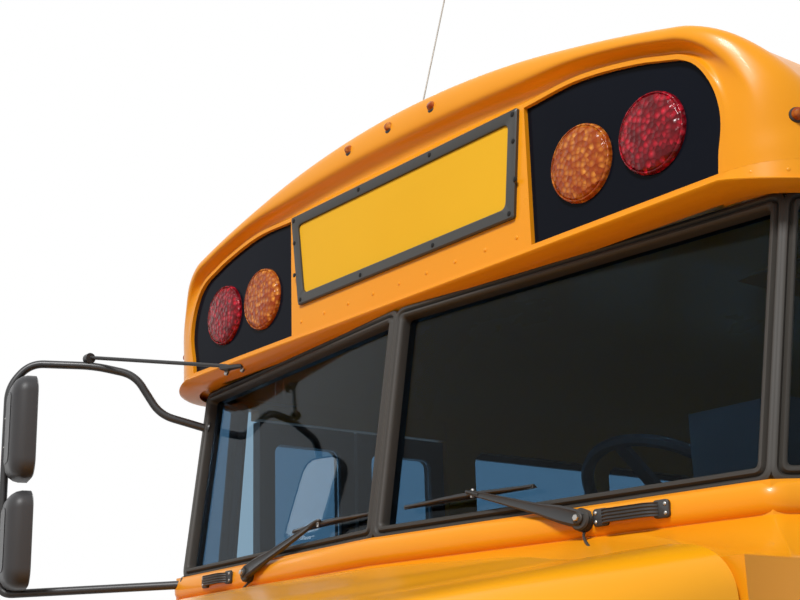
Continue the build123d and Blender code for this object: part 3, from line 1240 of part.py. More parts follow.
# Leaf springs: stepped arcs with an eye at each end, beside the rails
SPRING_PAD_Z = AXLE_HEIGHT + 88
with BuildPart() as leaf_springs:
    for axle_y in (FRONT_AXLE_Y, REAR_AXLE_Y):
        for side in (1, -1):
            left_edge = side * SPRING_X - SPRING_WIDTH / 2 + side * 4
            for leaf, share in enumerate((1.0, 0.8, 0.55)):
                drop = leaf * SPRING_THICKNESS / 3
                reach = SPRING_SPAN / 2 * share
                lift = (SPRING_EYE_Z - SPRING_PAD_Z - SPRING_THICKNESS) * share**2
                mid = SPRING_PAD_Z + SPRING_THICKNESS - drop
                low = mid - SPRING_THICKNESS / 3
                with BuildSketch(Plane.YZ.offset(left_edge)):
                    with BuildLine():
                        ThreePointArc((axle_y - reach, low + lift), (axle_y, low), (axle_y + reach, low + lift))
                        ThreePointArc((axle_y - reach, mid + lift), (axle_y, mid), (axle_y + reach, mid + lift))
                        Line((axle_y - reach, low + lift), (axle_y - reach, mid + lift))
                        Line((axle_y + reach, low + lift), (axle_y + reach, mid + lift))
                    make_face()
                extrude(amount=SPRING_WIDTH)
            with BuildSketch(Plane.YZ.offset(left_edge)):
                with Locations(*[(axle_y + end * (SPRING_SPAN / 2), SPRING_EYE_Z) for end in (-1, 1)]):
                    Circle(28)
            extrude(amount=SPRING_WIDTH)
    add(chassis_frame.part, mode=Mode.SUBTRACT)
keep(leaf_springs.part, "leaf_springs")

# Front axle: a dropped beam with spring pads and an upright eye for each kingpin
EYE_HEIGHT = 130
KINGPIN_RADIUS = 20
BEAM_HALF_DEPTH = 45
with BuildPart() as front_axle:
    with BuildSketch(Plane.XZ.offset(-FRONT_AXLE_Y - BEAM_HALF_DEPTH)):
        with BuildLine():
            Polyline(
                (-KINGPIN_X, AXLE_HEIGHT - 50), (-660, AXLE_HEIGHT - 50), (-600, AXLE_HEIGHT - 120),
                (600, AXLE_HEIGHT - 120), (660, AXLE_HEIGHT - 50), (KINGPIN_X, AXLE_HEIGHT - 50),
                (KINGPIN_X, AXLE_HEIGHT + 50), (600, AXLE_HEIGHT + 50), (560, AXLE_HEIGHT - 10),
                (-560, AXLE_HEIGHT - 10), (-600, AXLE_HEIGHT + 50), (-KINGPIN_X, AXLE_HEIGHT + 50), close=True,
            )
        make_face()
    extrude(amount=2 * BEAM_HALF_DEPTH)
    for side in (1, -1):
        with Locations((side * KINGPIN_X, FRONT_AXLE_Y, AXLE_HEIGHT)):
            Cylinder(50, EYE_HEIGHT)
            Cylinder(KINGPIN_RADIUS + RUNNING_FIT, EYE_HEIGHT, mode=Mode.SUBTRACT)
        pad_x = side * SPRING_X + side * 4
        with Locations((pad_x, FRONT_AXLE_Y, (AXLE_HEIGHT - 20 + SPRING_PAD_Z - SEAT) / 2)):
            Box(SPRING_WIDTH + 20, 110, SPRING_PAD_Z - SEAT - AXLE_HEIGHT + 20)
keep(front_axle.part, "front_axle")

# Rear axle: a tube with the differential case, spring pads and two spindles
REAR_HUB_INNER = 650
REAR_SPINDLE_END = 1075
with BuildPart() as rear_axle:
    with BuildSketch(Plane.YZ.offset(-REAR_HUB_INNER + 10)):
        with Locations((REAR_AXLE_Y, AXLE_HEIGHT)):
            Circle(70)
    extrude(amount=2 * (REAR_HUB_INNER - 10))
    with BuildSketch(Plane.YZ.offset(-110)):
        with Locations((REAR_AXLE_Y, AXLE_HEIGHT)):
            Circle(200)
    extrude(amount=220)
    chamfer(rear_axle.edges().filter_by(lambda edge: edge.length > 1000), length=60)
    with BuildSketch(Plane.YZ.offset(-REAR_SPINDLE_END)):
        with Locations((REAR_AXLE_Y, AXLE_HEIGHT)):
            Circle(REAR_SPINDLE_RADIUS)
    extrude(amount=2 * REAR_SPINDLE_END)
    for side in (1, -1):
        pad_x = side * SPRING_X + side * 4
        with Locations((pad_x, REAR_AXLE_Y, (AXLE_HEIGHT + SPRING_PAD_Z - SEAT) / 2)):
            Box(SPRING_WIDTH + 20, 110, SPRING_PAD_Z - SEAT - AXLE_HEIGHT)
keep(rear_axle.part, "rear_axle")

# Engine block and gearbox, with the shaft to the rear axle
ENGINE_REAR_Y = FRONT_AXLE_Y + 660
ENGINE_FRONT_Y = FRONT_AXLE_Y - 480
GEARBOX_REAR_Y = ENGINE_REAR_Y + 720
GEARBOX_Z = 690
with BuildPart() as driveline:
    with Locations((0, (ENGINE_REAR_Y + ENGINE_FRONT_Y) / 2, 1060)):
        Box(600, ENGINE_REAR_Y - ENGINE_FRONT_Y, 820)
    for mount_y in (ENGINE_FRONT_Y + 150, ENGINE_REAR_Y - 150):
        with Locations((0, mount_y, 730)):
            Box(2 * (RAIL_X + RAIL_WIDTH / 2 - RAIL_WALL - SEAT), 90, 60)
    with BuildSketch(Plane.XZ.offset(-GEARBOX_REAR_Y)):
        with Locations((0, GEARBOX_Z)):
            Circle(180)
    extrude(amount=GEARBOX_REAR_Y - ENGINE_REAR_Y)
    start = Vector(0, GEARBOX_REAR_Y, GEARBOX_Z)
    end = Vector(0, REAR_AXLE_Y - 195, AXLE_HEIGHT)
    with BuildSketch(Plane(origin=start, z_dir=end - start)):
        Circle(50)
    extrude(amount=(end - start).length)
    add(rear_axle.part, mode=Mode.SUBTRACT)
keep(driveline.part, "driveline")

# Radiator standing on the first crossmember
with BuildPart() as radiator:
    with Locations((0, member_rows[0], (RAIL_TOP - RAIL_WALL + SEAT + 1450) / 2)):
        Box(740, 70, 1450 - RAIL_TOP + RAIL_WALL - SEAT)
keep(radiator.part, "radiator")

# Fuel tank beside the right rail
TANK_LENGTH = 1200
TANK_Y = -700
with BuildPart() as fuel_tank:
    with BuildSketch(Plane.XZ.offset(-TANK_Y - TANK_LENGTH / 2)):
        with Locations((-820, 700)):
            RectangleRounded(560, 330, 70)
    extrude(amount=TANK_LENGTH)
    for strap_y in (TANK_Y - 350, TANK_Y + 350):
        with Locations(((-540 - RAIL_X - RAIL_WIDTH / 2 - SEAT) / 2, strap_y, 760)):
            Box(540 - RAIL_X - RAIL_WIDTH / 2 - SEAT, 80, 60)
keep(fuel_tank.part, "fuel_tank")

# Exhaust: pipe, silencer and a tail end that dips below the rear bumper
EXHAUST_X = 270
EXHAUST_Z = 650
TAIL_Z = BUMPER_BOTTOM - 60
with BuildPart() as exhaust:
    add(tube([
        (EXHAUST_X, ENGINE_REAR_Y + SEAT, EXHAUST_Z + 20),
        (EXHAUST_X, 4200, EXHAUST_Z), (EXHAUST_X, 4650, TAIL_Z), (EXHAUST_X, REAR_Y - 40, TAIL_Z),
    ], 45, 160))
    with BuildSketch(Plane.XZ.offset(900)):
        with Locations((EXHAUST_X, EXHAUST_Z - 12)):
            Circle(105)
    extrude(amount=900)
    for hanger_y in (member_rows[1], member_rows[3], member_rows[4]):
        with Locations((EXHAUST_X, hanger_y, (EXHAUST_Z + MEMBER_Z - MEMBER_HEIGHT / 2 - SEAT) / 2)):
            Box(40, 30, MEMBER_Z - MEMBER_HEIGHT / 2 - SEAT - EXHAUST_Z)
keep(exhaust.part, "exhaust")

# Mud flaps behind the rear wheels, hung from the floor
with BuildPart() as mud_flaps:
    for side in (1, -1):
        with Locations((side * 890, REAR_AXLE_Y + 760, (FLOOR_BOTTOM - SEAT + 240) / 2)):
            Box(540, 8, FLOOR_BOTTOM - SEAT - 240)
keep(mud_flaps.part, "mud_flaps")

# Bumpers: bowed channels, open at their backs
for name, face_y, turn, depth in (
    ("front", FRONT_Y, 1, BUMPER_DEPTH), ("rear", REAR_Y, -1, REAR_BUMPER_DEPTH - SEAT),
):
    low = BUMPER_BOTTOM
    with BuildPart() as bumper:
        for inset, mode in ((0, Mode.ADD), (10, Mode.SUBTRACT)):
            half = HALF_WIDTH - 10 - inset
            back = face_y + turn * (depth + inset)
            with BuildSketch(Plane.XY.offset(low + inset)):
                with BuildLine():
                    ThreePointArc(
                        (-half, face_y + turn * (55 + inset)), (0, face_y + turn * inset),
                        (half, face_y + turn * (55 + inset)),
                    )
                    Polyline(
                        (half, face_y + turn * (55 + inset)), (half, back), (-half, back),
                        (-half, face_y + turn * (55 + inset)),
                    )
                make_face()
            extrude(amount=BUMPER_HEIGHT - 2 * inset, mode=mode)
    keep(bumper.part, f"{name}_bumper")

# Steering knuckles: a yoke on the kingpin, the spindle and an arm for the tie rod
ARM_Z = AXLE_HEIGHT - 105
for name, side in sides.items():
    with BuildPart() as knuckle:
        for ear_z in (AXLE_HEIGHT + EYE_HEIGHT / 2 + 5 + 20, AXLE_HEIGHT - EYE_HEIGHT / 2 - 5 - 20):
            with Locations((side * KINGPIN_X, FRONT_AXLE_Y, ear_z)):
                Cylinder(50, 40)
            with Locations((side * (KINGPIN_X + 45), FRONT_AXLE_Y, ear_z)):
                Box(90, 90, 40)
        with Locations((side * KINGPIN_X, FRONT_AXLE_Y, AXLE_HEIGHT)):
            Cylinder(KINGPIN_RADIUS, EYE_HEIGHT + 60)
        with Locations((side * (KINGPIN_X + 75), FRONT_AXLE_Y, AXLE_HEIGHT)):
            Box(36, 90, EYE_HEIGHT + 90)
        with BuildSketch(Plane.YZ.offset(side * (KINGPIN_X + 75))):
            with Locations((FRONT_AXLE_Y, AXLE_HEIGHT)):
                Circle(SPINDLE_RADIUS)
        extrude(amount=side * (FRONT_TRACK_HALF + 95 - KINGPIN_X - 75))
        with Locations((side * KINGPIN_X, FRONT_AXLE_Y + STEER_ARM / 2, ARM_Z)):
            Box(44, STEER_ARM, 30)
        with Locations((side * KINGPIN_X, FRONT_AXLE_Y + STEER_ARM, ARM_Z)):
            Cylinder(28, 30)
        with Locations((side * KINGPIN_X, FRONT_AXLE_Y + STEER_ARM, ARM_Z + 40)):
            Cylinder(TIE_ROD_RADIUS - 6, 60)
    keep(knuckle.part, f"knuckle_{name}")

# Tie rod between the knuckle arms, with a running fit on the left and an open eye on the right
with BuildPart() as tie_rod:
    rod_y = FRONT_AXLE_Y + STEER_ARM
    rod_z = ARM_Z + 15 + 5 + 22
    with BuildSketch(Plane.YZ.offset(-KINGPIN_X)):
        with Locations((rod_y, rod_z)):
            Circle(TIE_ROD_RADIUS)
    extrude(amount=2 * KINGPIN_X)
    for side, clearance in ((1, RUNNING_FIT), (-1, 3)):
        with Locations((side * KINGPIN_X, rod_y, rod_z)):
            Cylinder(30, 40)
    for side, clearance in ((1, RUNNING_FIT), (-1, 3)):
        with Locations((side * KINGPIN_X, rod_y, rod_z)):
            Cylinder(TIE_ROD_RADIUS - 6 + clearance, 44, mode=Mode.SUBTRACT)
keep(tie_rod.part, "tie_rod")


def tyre_disc(place, low, high, length):
    """A many-sided disc along the axle, tapering between two corner radii over a signed length."""
    flat = cos(radians(180 / TYRE_SIDES))
    with BuildPart() as disc:
        with BuildSketch(Plane.YZ.offset(place)):
            RegularPolygon(low, TYRE_SIDES, rotation=-90)
        extrude(amount=length, taper=degrees(atan((low - high) * flat / abs(length))))
    return disc.part


def tyre_ring():
    """One tyre about its own centre: flat-sided, dished to its beads, with grooves round the tread."""
    half = TYRE_WIDTH / 2
    tread = half - TREAD_EASE
    shoulder = TYRE_RADIUS - TREAD_DROP
    bead = (RIM_RADIUS + SEAT) / cos(radians(180 / TYRE_SIDES))
    with BuildPart() as ring:
        add(tyre_disc(-tread, TYRE_RADIUS, TYRE_RADIUS, 2 * tread))
        for end in (-1, 1):
            add(tyre_disc(end * tread, TYRE_RADIUS, shoulder, end * SHOULDER_EASE))
            add(tyre_disc(
                end * (tread + SHOULDER_EASE), shoulder, TYRE_RADIUS - WALL_DROP, end * (TREAD_EASE - SHOULDER_EASE)
            ))
        for groove in TREAD_GROOVES:
            with BuildSketch(Plane.YZ.offset(groove - GROOVE_WIDTH / 2)):
                RegularPolygon(TYRE_RADIUS + GROOVE_DEPTH, TYRE_SIDES, rotation=-90)
                RegularPolygon(TYRE_RADIUS - GROOVE_DEPTH, TYRE_SIDES, rotation=-90, mode=Mode.SUBTRACT)
            extrude(amount=GROOVE_WIDTH, mode=Mode.SUBTRACT)
        for end in (-1, 1):
            add(tyre_disc(end * half, RIM_RADIUS + WALL_DISH, bead, -end * (half - BEAD_HALF)), mode=Mode.SUBTRACT)
        add(tyre_disc(-half, bead, bead, TYRE_WIDTH), mode=Mode.SUBTRACT)
    return ring.part


def barrel_profile(centre):
    """A rim's barrel with its two flanges, cut through."""
    with BuildSketch(Plane.XY) as sketch:
        with Locations((centre, RIM_RADIUS - 9)):
            Rectangle(210, 18)
    return sketch.sketch


# Wheels: rims and tyres turned about the axle, single in front and twin at the rear
DISC = 18
tyre = tyre_ring()
for name, side in sides.items():
    for end, axle_y, centres, disc_x, hub, bore in (
        ("front", FRONT_AXLE_Y, (FRONT_TRACK_HALF,), FRONT_TRACK_HALF + 40, (970, 1125), SPINDLE_RADIUS),
        ("rear", REAR_AXLE_Y, (REAR_OUTER_X - DUAL_SPACING, REAR_OUTER_X),
         REAR_OUTER_X - DUAL_SPACING / 2, (840, 1100), REAR_SPINDLE_RADIUS),
    ):
        spin = Axis((0, axle_y, AXLE_HEIGHT), (1, 0, 0))
        turned = Plane(origin=(0, axle_y, AXLE_HEIGHT), x_dir=(side, 0, 0), z_dir=(0, -side, 0))
        with BuildPart() as rim:
            with BuildSketch(turned):
                for centre in centres:
                    add(barrel_profile(centre))
                if len(centres) > 1:
                    with Locations((sum(centres) / 2, RIM_RADIUS - 12)):
                        Rectangle(DUAL_SPACING - 205, 12)
                with Locations((disc_x, (bore + 40 + RIM_RADIUS - 5) / 2)):
                    Rectangle(DISC, RIM_RADIUS - 5 - bore - 40)
                with Locations(((hub[0] + hub[1]) / 2, (bore + RUNNING_FIT + 125) / 2)):
                    Rectangle(hub[1] - hub[0], 125 - bore - RUNNING_FIT)
                with Locations((hub[1] + 10, 60)):
                    Rectangle(20, 120)
            revolve(axis=spin)
            with BuildSketch(Plane.YZ.offset(side * disc_x - 20)):
                with Locations((axle_y, AXLE_HEIGHT)):
                    with PolarLocations(205, 10):
                        Circle(26)
            extrude(amount=40, mode=Mode.SUBTRACT)
        keep(rim.part, f"wheel_rim_{end}_{name}")
        with BuildPart() as tyres:
            for centre in centres:
                with Locations((side * centre, axle_y, AXLE_HEIGHT)):
                    add(tyre)
        keep(tyres.part, f"tyre_{end}_{name}")

# Stop arm folded flat on the left side, hinged at its front edge
with BuildPart() as stop_arm:
    with BuildSketch(Plane.YZ.offset(STOP_X)):
        with Locations((STOP_Y, STOP_Z)):
            RegularPolygon(STOP_WIDTH / 2, 8, major_radius=False, rotation=22.5)
    extrude(amount=STOP_THICKNESS)
    with Locations((STOP_X + STOP_THICKNESS / 2, (STOP_HINGE_Y + STOP_Y - STOP_WIDTH / 2 + 10) / 2, STOP_Z)):
        Box(STOP_THICKNESS, STOP_Y - STOP_WIDTH / 2 + 10 - STOP_HINGE_Y, STOP_HINGE)
    with Locations((STOP_X + STOP_THICKNESS / 2, STOP_HINGE_Y, STOP_Z)):
        Cylinder(12, STOP_HINGE)
        Cylinder(STOP_PIN + RUNNING_FIT, STOP_HINGE, mode=Mode.SUBTRACT)
keep(stop_arm.part, "stop_arm")

# Wipers: an arm and a blade each, parked towards the centre, turning square to the glass
for name, side in sides.items():
    plane = pane_plane(side, False)
    pivot = wiper_pivot(name)
    toward = -side
    tip = (pivot[0] + toward * WIPER_ARM * cos(radians(WIPER_ANGLE)), pivot[1] + WIPER_ARM * sin(radians(WIPER_ANGLE)))
    with BuildPart() as wiper:
        with BuildSketch(plane.offset(WIPER_BASE)):
            with Locations(pivot):
                Circle(24)
        extrude(amount=22)
        with BuildSketch(plane.offset(1)):
            with Locations(pivot):
                Circle(WIPER_SPINDLE)
        extrude(amount=WIPER_BASE)
        with BuildSketch(plane.offset(30)):
            with BuildLine():
                Line(pivot, tip)
            make_hull([Edge.make_circle(14).moved(Location(pivot)), Edge.make_circle(5).moved(Location(tip))])
        extrude(amount=10)
        with BuildSketch(plane.offset(14)):
            with Locations(tip):
                SlotOverall(WIPER_BLADE, 16)
        extrude(amount=18)
        with BuildSketch(plane.offset(-10)):
            with Locations(tip):
                Rectangle(WIPER_BLADE - 20, 7)
        extrude(amount=26)
    keep(wiper.part, f"wiper_{name}")
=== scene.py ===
# %% [markdown]
# # A school bus, dressed around its frame
# The frame is the bus as plain solids, already in place and in metres. Every cell below either
# gives one of those solids a better finish or puts a finer piece where it stood.
# +Z is up, the bus faces -Y and the driver sits on the +X side.

import json
from math import cos, hypot, pi, radians, sin, sqrt

import bmesh
import bpy
from mathutils import Matrix, Vector
from mathutils.geometry import tessellate_polygon

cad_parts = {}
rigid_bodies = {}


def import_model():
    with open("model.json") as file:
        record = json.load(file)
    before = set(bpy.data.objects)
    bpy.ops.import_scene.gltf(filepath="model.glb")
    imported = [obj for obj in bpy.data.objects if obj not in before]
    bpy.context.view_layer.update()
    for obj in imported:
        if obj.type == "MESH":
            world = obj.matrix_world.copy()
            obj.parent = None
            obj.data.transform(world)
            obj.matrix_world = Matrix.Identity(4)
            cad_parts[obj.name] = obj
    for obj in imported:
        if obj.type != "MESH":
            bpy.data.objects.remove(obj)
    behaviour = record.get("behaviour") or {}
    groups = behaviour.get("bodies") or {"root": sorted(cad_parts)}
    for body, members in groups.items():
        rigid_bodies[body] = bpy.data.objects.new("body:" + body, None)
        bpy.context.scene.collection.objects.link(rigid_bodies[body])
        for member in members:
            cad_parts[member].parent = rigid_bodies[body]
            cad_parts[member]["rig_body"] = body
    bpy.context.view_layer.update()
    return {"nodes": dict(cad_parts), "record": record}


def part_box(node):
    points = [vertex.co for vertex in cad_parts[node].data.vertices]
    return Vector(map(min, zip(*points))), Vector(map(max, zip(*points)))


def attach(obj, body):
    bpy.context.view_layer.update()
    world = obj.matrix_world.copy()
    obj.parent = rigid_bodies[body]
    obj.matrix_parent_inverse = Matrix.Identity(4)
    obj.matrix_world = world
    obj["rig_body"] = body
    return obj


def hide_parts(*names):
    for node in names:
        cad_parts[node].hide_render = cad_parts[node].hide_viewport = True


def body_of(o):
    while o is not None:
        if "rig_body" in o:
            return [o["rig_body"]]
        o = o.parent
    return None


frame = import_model()
nodes = frame["nodes"]
slot_of = {row["node"]: row["material_slot"] for row in frame["record"]["subparts"]}

# %% [markdown]
# ## Effects shared by the finishes
# Real paint, rubber and plastic are never one even colour. Three small node groups carry what most
# finishes share: a slow drift of tone, a film of road dust that thins out with height, and a fine
# skin for the bump. A group gives out only a mask or a height, so each material keeps its shader.
# The helpers above them wire nodes, and two of them serve the white floor and world at the end.

# %% Node groups
def new_group(name, inputs, outputs):
    """An empty shader group with named sockets, and its two end nodes."""
    tree = bpy.data.node_groups.new(name, "ShaderNodeTree")
    for label, kind, value in inputs:
        socket = tree.interface.new_socket(label, in_out="INPUT", socket_type=kind)
        if value is not None:
            socket.default_value = value
    for label, kind in outputs:
        tree.interface.new_socket(label, in_out="OUTPUT", socket_type=kind)
    return tree, tree.nodes.new("NodeGroupInput"), tree.nodes.new("NodeGroupOutput")


def wire(tree, source, socket, target):
    """Joins a node's output to another node's input."""
    tree.links.new(source.outputs[socket], target)


def sum_node(tree, operation, first, second, clamp=False):
    """A Math node fed by sockets or plain numbers."""
    node = tree.nodes.new("ShaderNodeMath")
    node.operation = operation
    node.use_clamp = clamp
    for slot_number, value in enumerate((first, second)):
        if isinstance(value, (int, float)):
            node.inputs[slot_number].default_value = value
        else:
            tree.links.new(value, node.inputs[slot_number])
    return node.outputs[0]


def seen_by_eye(tree):
    """1 for a ray that comes from the camera, through glass or off a shiny face, else 0."""
    rays = tree.nodes.new("ShaderNodeLightPath")
    either = sum_node(tree, "MAXIMUM", rays.outputs["Is Camera Ray"], rays.outputs["Is Transmission Ray"])
    return sum_node(tree, "MAXIMUM", either, rays.outputs["Is Glossy Ray"])


def mix_shaders(tree, share, first, second):
    """A Mix Shader node between two shaders."""
    node = tree.nodes.new("ShaderNodeMixShader")
    for number, socket in enumerate((share, first, second)):
        tree.links.new(socket, node.inputs[number])
    return node.outputs[0]


drift_group, start, end = new_group(
    "Tone drift",
    [("Vector", "NodeSocketVector", None), ("Scale", "NodeSocketFloat", 2.0),
     ("Spread", "NodeSocketFloat", 1.0)],
    [("Mask", "NodeSocketFloat")],
)
noise = drift_group.nodes.new("ShaderNodeTexNoise")
noise.inputs["Detail"].default_value = 5
wire(drift_group, start, "Vector", noise.inputs["Vector"])
wire(drift_group, start, "Scale", noise.inputs["Scale"])
centred = sum_node(drift_group, "SUBTRACT", noise.outputs[0], 0.5)
spread = sum_node(drift_group, "MULTIPLY", centred, start.outputs["Spread"])
drift_group.links.new(sum_node(drift_group, "ADD", spread, 0.5, clamp=True), end.inputs["Mask"])

film_group, start, end = new_group(
    "Road film",
    [("Vector", "NodeSocketVector", None), ("Top", "NodeSocketFloat", 1.2), ("Fade", "NodeSocketFloat", 1.0),
     ("Amount", "NodeSocketFloat", 0.3)],
    [("Mask", "NodeSocketFloat")],
)
split = film_group.nodes.new("ShaderNodeSeparateXYZ")
wire(film_group, start, "Vector", split.inputs[0])
below = sum_node(film_group, "SUBTRACT", start.outputs["Top"], split.outputs["Z"])
height = sum_node(film_group, "DIVIDE", below, start.outputs["Fade"], clamp=True)
noise = film_group.nodes.new("ShaderNodeTexNoise")
noise.inputs["Scale"].default_value = 7
noise.inputs["Detail"].default_value = 6
wire(film_group, start, "Vector", noise.inputs["Vector"])
uneven = sum_node(film_group, "MULTIPLY", height,
                  sum_node(film_group, "ADD", noise.outputs[0], 0.25, clamp=True))
film_group.links.new(sum_node(film_group, "MULTIPLY", uneven, start.outputs["Amount"]), end.inputs["Mask"])

skin_group, start, end = new_group(
    "Fine skin",
    [("Vector", "NodeSocketVector", None), ("Scale", "NodeSocketFloat", 300.0),
     ("Depth", "NodeSocketFloat", 0.00003)],
    [("Height", "NodeSocketFloat")],
)
noise = skin_group.nodes.new("ShaderNodeTexNoise")
noise.inputs["Detail"].default_value = 3
wire(skin_group, start, "Vector", noise.inputs["Vector"])
wire(skin_group, start, "Scale", noise.inputs["Scale"])
skin_group.links.new(sum_node(skin_group, "MULTIPLY", noise.outputs[0], start.outputs["Depth"]),
                     end.inputs["Height"])
print("groups:", [group.name for group in (drift_group, film_group, skin_group)])

# %% [markdown]
# ## One recipe for most finishes
# A finish mixes two close tones by the drift, lays the dust over them by height, roughens with the
# dust and bumps with the skin. What is the same all over, such as a coat or an index of
# refraction, is set on the shader's own socket.

# %% The recipe
DUST = (0.33, 0.29, 0.23, 1)
finishes = {}


def place_group(tree, group, vector, **values):
    """A group node in a material, with its own values."""
    node = tree.nodes.new("ShaderNodeGroup")
    node.node_tree = group
    tree.links.new(vector, node.inputs["Vector"])
    for label, value in values.items():
        node.inputs[label].default_value = value
    return node


def mix_colours(tree, mask, first, second):
    """A colour Mix node; either side may be a socket or four numbers."""
    node = tree.nodes.new("ShaderNodeMix")
    node.data_type = "RGBA"
    tree.links.new(mask, node.inputs["Factor"])
    for label, value in (("A", first), ("B", second)):
        socket = [s for s in node.inputs if s.name == label and s.type == "RGBA"][0]
        if isinstance(value, tuple):
            socket.default_value = value
        else:
            tree.links.new(value, socket)
    return [s for s in node.outputs if s.type == "RGBA"][0]


def new_material(name):
    """A node material kept under its name: its tree, its shader and the object's own coordinates."""
    material = bpy.data.materials.new(name)
    material.use_nodes = True
    finishes[name] = material
    tree = material.node_tree
    return tree, tree.nodes["Principled BSDF"], tree.nodes.new("ShaderNodeTexCoord").outputs["Object"]


def add_bump(tree, shader, height, distance):
    """A bump from a height, wired into a shader."""
    bump = tree.nodes.new("ShaderNodeBump")
    bump.inputs["Distance"].default_value = distance
    tree.links.new(height, bump.inputs["Height"])
    tree.links.new(bump.outputs["Normal"], shader.inputs["Normal"])


def set_sockets(shader, values):
    """Plain values for a shader's sockets, named with underscores for spaces."""
    for label, value in values.items():
        shader.inputs[label.replace("_", " ")].default_value = value


def finish(name, colour, roughness, second=None, drift=(2.0, 1.6), skin=(350, 0.00002), film=(1.3, 1.1, 0.25),
           rough_spread=0.12, **sockets):
    """A finish: two tones drifting, dust by height, roughness that follows both, and a fine bump."""
    tree, shader, place = new_material(name)
    tone = place_group(tree, drift_group, place, Scale=drift[0], Spread=drift[1]).outputs["Mask"]
    second = second or tuple(channel * 0.82 for channel in colour)
    base = mix_colours(tree, tone, (*colour, 1), (*second, 1))
    rough = sum_node(tree, "MULTIPLY_ADD", tone, rough_spread)
    rough.node.inputs[2].default_value = roughness - rough_spread / 2
    if film[2]:
        dust = place_group(tree, film_group, place, Top=film[0], Fade=film[1], Amount=film[2]).outputs["Mask"]
        base = mix_colours(tree, dust, base, DUST)
        rough = sum_node(tree, "ADD", rough, sum_node(tree, "MULTIPLY", dust, 0.6), clamp=True)
    tree.links.new(base, shader.inputs["Base Color"])
    tree.links.new(rough, shader.inputs["Roughness"])
    if skin[1]:
        relief = place_group(tree, skin_group, place, Scale=skin[0], Depth=skin[1])
        add_bump(tree, shader, relief.outputs["Height"], 1)
    set_sockets(shader, sockets)


finish("body_yellow", (0.88, 0.338, 0.008), 0.30, second=(0.82, 0.300, 0.006), film=(1.5, 1.2, 0.35),
       skin=(90, 0.00005), Coat_Weight=0.10, Coat_Roughness=0.08, Specular_IOR_Level=0.22)
finish("hood_yellow", (0.90, 0.370, 0.005), 0.22, second=(0.87, 0.352, 0.005), film=(1.3, 0.9, 0.25),
       skin=(70, 0.00005), Coat_Weight=0.15, Coat_Roughness=0.06, Specular_IOR_Level=0.22)
finish("black_paint", (0.012, 0.012, 0.014), 0.34, second=(0.022, 0.022, 0.024), film=(1.4, 1.1, 0.35))
finish("panel_black", (0.004, 0.0052, 0.009), 0.14, second=(0.007, 0.009, 0.015), film=(1.4, 1.1, 0),
       rough_spread=0.06,
       Specular_IOR_Level=0.04)
finish("chassis_black", (0.018, 0.018, 0.018), 0.6, film=(1.2, 0.8, 0.6), skin=(120, 0.0002))
finish("cast_grey", (0.10, 0.10, 0.10), 0.62, film=(1.2, 0.8, 0.6), skin=(260, 0.0003), Metallic=0.3)
finish("black_rubber", (0.021, 0.018, 0.014), 0.58, second=(0.033, 0.028, 0.022), skin=(500, 0.00004),
       film=(1.2, 0.9, 0.35))
finish("tyre_rubber", (0.018, 0.018, 0.018), 0.72, second=(0.032, 0.030, 0.028), drift=(9, 1.8),
       skin=(600, 0.0001), film=(0.95, 0.8, 0.45))
finish("rim_white", (0.62, 0.61, 0.57), 0.36, second=(0.54, 0.52, 0.47), film=(1.0, 0.8, 0.45),
       Coat_Weight=0.3)
finish("black_plastic", (0.017, 0.017, 0.018), 0.5, second=(0.027, 0.027, 0.027), skin=(900, 0.00005))
finish("sign_yellow", (0.85, 0.47, 0.020), 0.3, second=(0.80, 0.43, 0.017), film=(1.4, 1.1, 0),
       skin=(60, 0.00002), Specular_IOR_Level=0.1)
finish("frame_charcoal", (0.030, 0.030, 0.028), 0.42, second=(0.042, 0.042, 0.038), film=(1.4, 1.1, 0),
       skin=(500, 0.00004))
finish("screw_black", (0.012, 0.012, 0.012), 0.35, film=(1.4, 1.1, 0), skin=(500, 0), Metallic=0.6)
finish("wiper_black", (0.015, 0.015, 0.015), 0.38, second=(0.026, 0.026, 0.026), film=(1.4, 1.1, 0.1))
finish("stop_red", (0.45, 0.012, 0.012), 0.36, film=(1.3, 1.1, 0.2))
finish("mirror_black", (0.018, 0.018, 0.019), 0.4, second=(0.03, 0.03, 0.03), film=(1.4, 1.0, 0.2))
finish("shell_grey", (0.050, 0.050, 0.052), 0.42, second=(0.038, 0.038, 0.04), skin=(500, 0.00004),
       film=(1.4, 1.0, 0.15),
       Specular_IOR_Level=0.25)
finish("floor_grey", (0.055, 0.055, 0.055), 0.65, second=(0.085, 0.083, 0.08), drift=(4, 1.8),
       film=(1.3, 0.6, 0.4),
       skin=(160, 0.0003))
finish("dash_grey", (0.05, 0.052, 0.055), 0.6, second=(0.07, 0.07, 0.07), skin=(500, 0.00015),
       film=(1.2, 1, 0))
finish("seat_green", (0.016, 0.055, 0.032), 0.48, second=(0.024, 0.075, 0.046), drift=(6, 1.8),
       skin=(420, 0.00025), film=(1.0, 0.5, 0))
finish("seat_grey", (0.035, 0.035, 0.04), 0.8, second=(0.06, 0.06, 0.065), drift=(40, 2), skin=(900, 0.0004),
       film=(1.0, 0.5, 0), Sheen_Weight=0.3)
finish("exhaust_steel", (0.32, 0.30, 0.27), 0.42, second=(0.22, 0.17, 0.12), drift=(5, 2.2), Metallic=0.85)
finish("tank_grey", (0.42, 0.42, 0.42), 0.42, second=(0.33, 0.33, 0.33), film=(1.2, 0.8, 0.5), Metallic=0.7)
finish("grille_silver", (0.55, 0.55, 0.56), 0.22, second=(0.45, 0.45, 0.46), Metallic=1.0)
finish("screw_steel", (0.50, 0.49, 0.47), 0.34, second=(0.38, 0.36, 0.33), drift=(90, 2), film=(1.2, 1, 0),
       Metallic=1.0)
finish("mirror_glass", (0.82, 0.85, 0.87), 0.03, rough_spread=0.02, skin=(20, 0), film=(1.2, 1, 0),
       Metallic=1.0)
